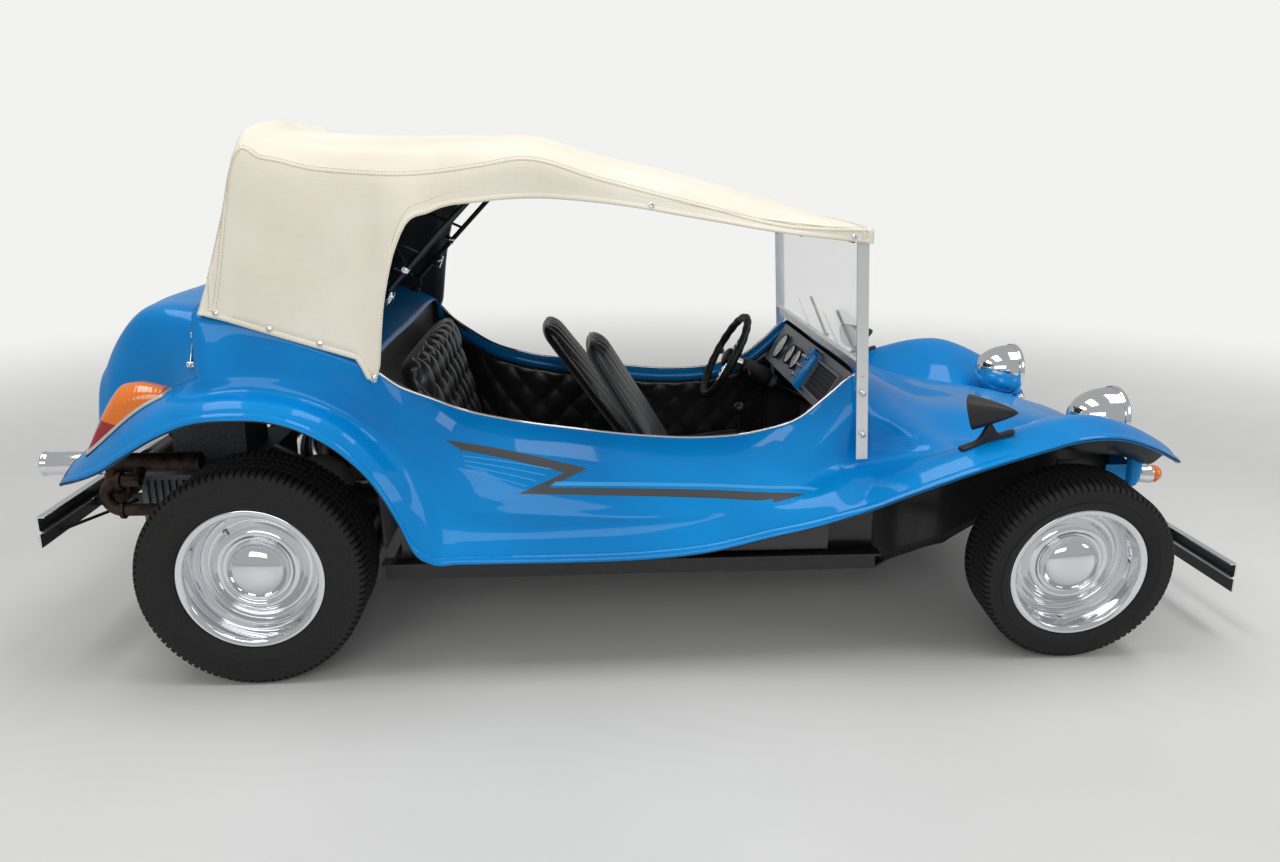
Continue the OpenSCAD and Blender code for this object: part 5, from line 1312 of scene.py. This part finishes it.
rings, faces, marks, covers = [], [], [], []
for y, r in ((-40, 30), (60, 38), (160, 38), (330, 50)):
    centre = on_dash(9.0, y, 78)
    bezel = rounded([(r - 4, 0.5), (r + 2, 0), (r + 3, 3), (r + 1, 7), (r - 3, 7), (r - 5, 2)], 1.2)
    rings.append(turned(bezel, centre, dash_out, 48))
    faces.append(turned([(0.05, 1.2), (r - 4, 1.2)], centre, dash_out, 48))
    for k in range(11):
        way = on_dial(225 - 27 * k)
        over = np.cross(dash_out, way) * 0.6
        line = [centre + way * (r - (13 if k % 2 == 0 else 10)), centre + way * (r - 6)]
        marks.append(sheet([[p - over + dash_out * 1.6, p + over + dash_out * 1.6] for p in line]))
    needle = np.array([centre - on_dial(200) * 5, centre + on_dial(200) * (r - 9)]) + dash_out * 2.6
    marks.append(tube(needle, 0.9, 8))
    covers.append(turned([(r - 3.6, 4.2), (r - 8, 5.0), (r * 0.5, 5.8), (0.05, 6.1)], centre, dash_out, 40))
piece("dash_bezels", rings, black_moulding)
piece("dash_faces", faces, dial_black, outward=False)
piece("dash_marks", marks, dial_white, outward=False)
piece("dash_glass", covers, lamp_glass, outward=False)
box = np.array([(-150, 6), (-150, 132), (-141, 146), (-110, 152), (-79, 146), (-70, 132), (-70, 6), (-150, 6)])
box_middle = (-110, 79)
layers = [on_dash(out, *((box - box_middle) * share + box_middle).T)
          for out, share in ((9, 1.0), (28, 1.0), (33, 0.94), (34, 0.0))]
piece("dash_switch_box", [sheet(layers)], body_blue, crisp=30)
knob = rounded([(0.05, 12), (5, 11.5), (6, 9), (4, 4), (7, 1), (7, 0)], 1.2)[::-1]
knobs = [turned(knob, on_dash(33.5, y, up), dash_out, 20)
         for y, up in ((-125, 110), (-95, 110), (-125, 76), (-95, 76), (-110, 40))]
piece("dash_knobs", knobs, chrome)
net_y, wave = np.linspace(-442, -176, 20), np.linspace(0, 9, 20)
pocket = [sheet([[on_dash(3.0, y, up) for y in (-442, -176)] for up in (28, 122)])]
pocket += [tube(on_dash(9, net_y, 36 + 16 * k + 2.5 * np.sin(wave + k)), 1.2, 6) for k in range(6)]
piece("dash_pocket", pocket, black_moulding, outward=False)

# %% Steering wheel, column shroud and stalks
rake = math.radians(28)
column_way = np.array([math.cos(rake), 0, -math.sin(rake)])
wheel_down = np.array([-math.sin(rake), 0, -math.cos(rake)])
hub = np.array([fa - 905, 330, 742.0])
a, b = around(240)[:, None, None], around(22)[None, :, None]
radial = np.cos(a) * wheel_down + np.sin(a) * SIDEWAYS
grips = hub + 165 * radial + (14.5 + 0.9 * np.cos(20 * a)) * (np.cos(b) * radial + np.sin(b) * column_way)
piece("steering_wheel_rim", [(grips, True, True, 0)], edge_rubber, "steering_wheel", "steering_wheel")
# Each spoke: reach from the hub, half width, dish
spoke_marks = np.array([(28, 19, 12), (60, 14, 9), (100, 11, 7), (140, 12, 6), (156, 16, 4.0)])
spokes = []
for degrees in (90, 210, 330):
    way = math.cos(math.radians(degrees)) * wheel_down + math.sin(math.radians(degrees)) * SIDEWAYS
    side_way = np.cross(column_way, way)
    spokes.append(sleeve([[hub + way * r + column_way * (dish + thick) + side_way * wide * k
                           for k, thick in ((-1, -1.6), (-1, 1.6), (1, 1.6), (1, -1.6))]
                          for r, wide, dish in spoke_marks]))
    for r in (62, 88, 114):
        on_spoke = hub + way * r + column_way * (np.interp(r, spoke_marks[:, 0], spoke_marks[:, 2]) - 2.2)
        size = 7.5 - r * 0.02
        spokes.append(turned([(size, 0), (size, 1.0), (0.05, 1.0)], on_spoke, -column_way, 18, 1))
hub_cap = rounded([(0.05, -6), (22, -5), (34, 0), (38, 8), (38, 29), (0.05, 29)], 4)
spokes.append(turned(hub_cap, hub, column_way, 48, 1))
piece("steering_wheel_spokes", spokes, [chrome, black_moulding], "steering_wheel", crisp=35)
controls = [turned(rounded([(21, 70), (30, 74), (34, 90), (36, 180), (30, 196), (21, 198)], 5), hub, column_way, 40)]
for sign, droop in ((1, 0.1), (-1, -0.15)):
    start = hub + column_way * 96 + (0, sign * 30, 4)
    stalk = curve([start, start + (-6, sign * 60, 18 * droop), start + (-14, sign * 118, 30 * droop)], 16)
    controls.append(tube(stalk, np.linspace(3.2, 4.6, 16), 12))
piece("column_shroud", controls, black_moulding)
print("dash and wheel dressed")

# %% [markdown]
# ## Bumpers and exhaust
# Each bumper is a pressed blade: two flats, a rib between them and a lip along the top. The
# outside is chrome plated and the inside wears black enamel, painted shade for the dark inner face
# of the blade, so the outline of the section is cut in two chains that are extruded apart. The
# exhaust is bent tube, browned by heat, with chrome tips whose mouths are flared.

# %% Bumpers
outer_chain = rounded([(5, 0), (0, 0), (0, 41), (7, 48), (0, 55), (0, 96), (24, 96), (24, 92)], 2.2, 4)
inner_chain = rounded([(5, 0), (5, 0.5), (5, 42), (14, 48), (5, 54), (5, 92), (23.5, 92), (24, 92)], 2.2, 4)
dome_bolt = np.concatenate([rounded([(11, 0), (11, 2), (9, 3)], 1), ellipse(8.5, 7, 8) + (0, 3)])
engine_x = ra - 460


def bar(x0, x1, y0, y1, z0, z1, *rest, **more):
    """A rounded block between pairs of limits, given in either order along x."""
    return block((min(x0, x1), y0, z0), (max(x0, x1), y1, z1), *rest, **more)


for name, at_x, way, low, half, inner_x, bracket_y, bracket_low in (
        ("front", fa + 590, -1, 146, 620, fa + 144.3, 260, 196),
        ("rear", ra - 635, 1, 372, 600, engine_x - 0.3, 240, 380)):
    outside, inside = (xyz(at_x + way * chain[:, 0], np.linspace(-half, half, 9)[:, None], low + chain[:, 1])
                       for chain in (outer_chain, inner_chain))
    # The inside sheet wears black enamel: painted shade for the dark inner face of the chrome blade.
    parts = [sheet(outside), sheet(inside, 1), sheet([outside[0], inside[0]]), sheet([outside[-1], inside[-1]])]
    parts.append(bar(at_x + way * 13.4, at_x + way * 15, -half, half, low + 44, low + 52, 0.7, 2))
    for s in SIDES:
        arm_y = s * bracket_y
        parts.append(bar(at_x + way * 5, inner_x, arm_y - 4, arm_y + 4, bracket_low, bracket_low + 40, 2, part=1))
        parts += [turned(dome_bolt, (at_x - way * 0.2, s * y, low + z), (-way, 0, 0), 24)
                  for y, z in ((half - 16, 26), (bracket_y, 68))]
        parts += [turned(bolt_head, (at_x + way * x, arm_y + s * 4, bracket_low + 20), (0, s, 0), 20) for x in (24, 44)]
        if name == "rear":
            parts.append(tube([(at_x + 3, s * 480, low + 12), (engine_x - 40, s * 240, low + 24)], 5, 12, 1))
            parts.append(sheet([[(at_x + x, s * (bracket_y + 5), low + z) for x, z in row]
                                for row in (((6, 60), (6, 12)), ((150, 60), (60, 12)))], 1))
    piece(name + "_bumper_blade", parts, [chrome, black_enamel], replaces=name + "_bumper", crisp=50)

# %% Exhaust
tip_profile = rounded([(30, 170), (36, 168), (36, 16), (39.5, 4), (38.5, 0), (36, 1), (33, 14), (33, 140),
                       (0.05, 141)], 4)
can = rounded([(0.05, -375), (38, -375), (44, -368), (44, -362), (42, -358),
               (42, 358), (44, 362), (44, 368), (38, 375), (0.05, 375)], 3)
silencer_x, silencer_z, header_z, bend_r, tip_y, tip_z = engine_x - 42.3, 470, 472, 47, 375, 562
clamp, collar = (rounded([(r, -w), (outer, -w), (outer, w), (r, w)], 2) for r, outer, w in ((31, 35, 8), (19, 27, 6)))
a = np.radians(np.linspace(90, 270, 40))
high, low = header_z + bend_r, header_z - bend_r
pipes, tips = [], []
for s in SIDES:
    mouth, header_y = np.array([ra - 705, s * tip_y, tip_z]), s * 425
    tips += [turned(tip_profile, mouth, FORWARD, 64), turned(clamp, mouth + (184, 0, 0), FORWARD, 40)]
    turn = xyz(ra - 465 + bend_r * np.cos(a), header_y, header_z + bend_r * np.sin(a))
    pipes += [
        tube([mouth + (169, 0, 0), mouth + (469, 0, 0)], 30, 40),
        tube([(silencer_x, s * tip_y, silencer_z), (silencer_x, s * tip_y, tip_z)], 28, 32, up=FORWARD),
        tube([(ra - 405, header_y, high), *turn, (ra - 295, header_y, low)], 19, 32, up=SIDEWAYS),
        *(turned(collar, (ra - 465, header_y, z), FORWARD, 32) for z in (low, high)),
        tube([(ra - 415, header_y, high), (ra - 415, s * tip_y, tip_z)], 17, 28, up=FORWARD),
        tube([(ra - 300, header_y, low), (ra - 300, s * 310, header_z - 67)], 17, 28, up=FORWARD)]
pipes.append(turned(can, (silencer_x, 0, silencer_z), SIDEWAYS, 48))
piece("exhaust_pipes", pipes, browned_steel, replaces="exhaust", crisp=45)
piece("exhaust_tips", tips, chrome, crisp=45)

# %% [markdown]
# ## Small fittings
# Clamps hold the strut to the hoops, clips and a rail run along the header, and the engine gets
# the fins and the fan grille that make it an air-cooled one.

# %% Clamps, clips and fins
clamps, fins = [], []
for s in SIDES:
    for (x0, z0), (x1, z1) in (((-716, 1178), (-684, 1158)), ((-752, 1064), (-736, 1106))):
        clamps += [tube([(x0, s * 560, z0), (x1, s * 560, z1)], 13, 20, up=SIDEWAYS),
                   turned(bolt_head * 0.8, ((x0 + x1) / 2, s * 572, (z0 + z1) / 2), (0, s, 0), 18)]
    fins += [block((x, s * 300 - 14, 345), (x + 5, s * 300 + 14, 480), 1.5, 2) for x in ra - 440 + 22 * np.arange(14)]
header_rail = tube(xyz(fa - 676, np.linspace(-560, 560, 24), 1240), 5, 12)
clips = [block((fa - 684, 534, 1190), (fa - 672, 578, 1244), 4), block((fa - 682, 110, 1206), (fa - 672, 132, 1244), 4)]
a = np.linspace(0, 2 * math.pi, 49)
fins += [tube(xyz(ra - 442, r * np.cos(a), 640 + r * np.sin(a)), 2.2, 8, 1, False, up=FORWARD)
         for r in range(26, 99, 18)]
piece("bow_clamps", clamps, chrome)
piece("header_clips", [*clips, header_rail], black_moulding)
piece("engine_fins", fins, [cast_alloy, chrome])
print("bumpers, exhaust and fittings dressed")
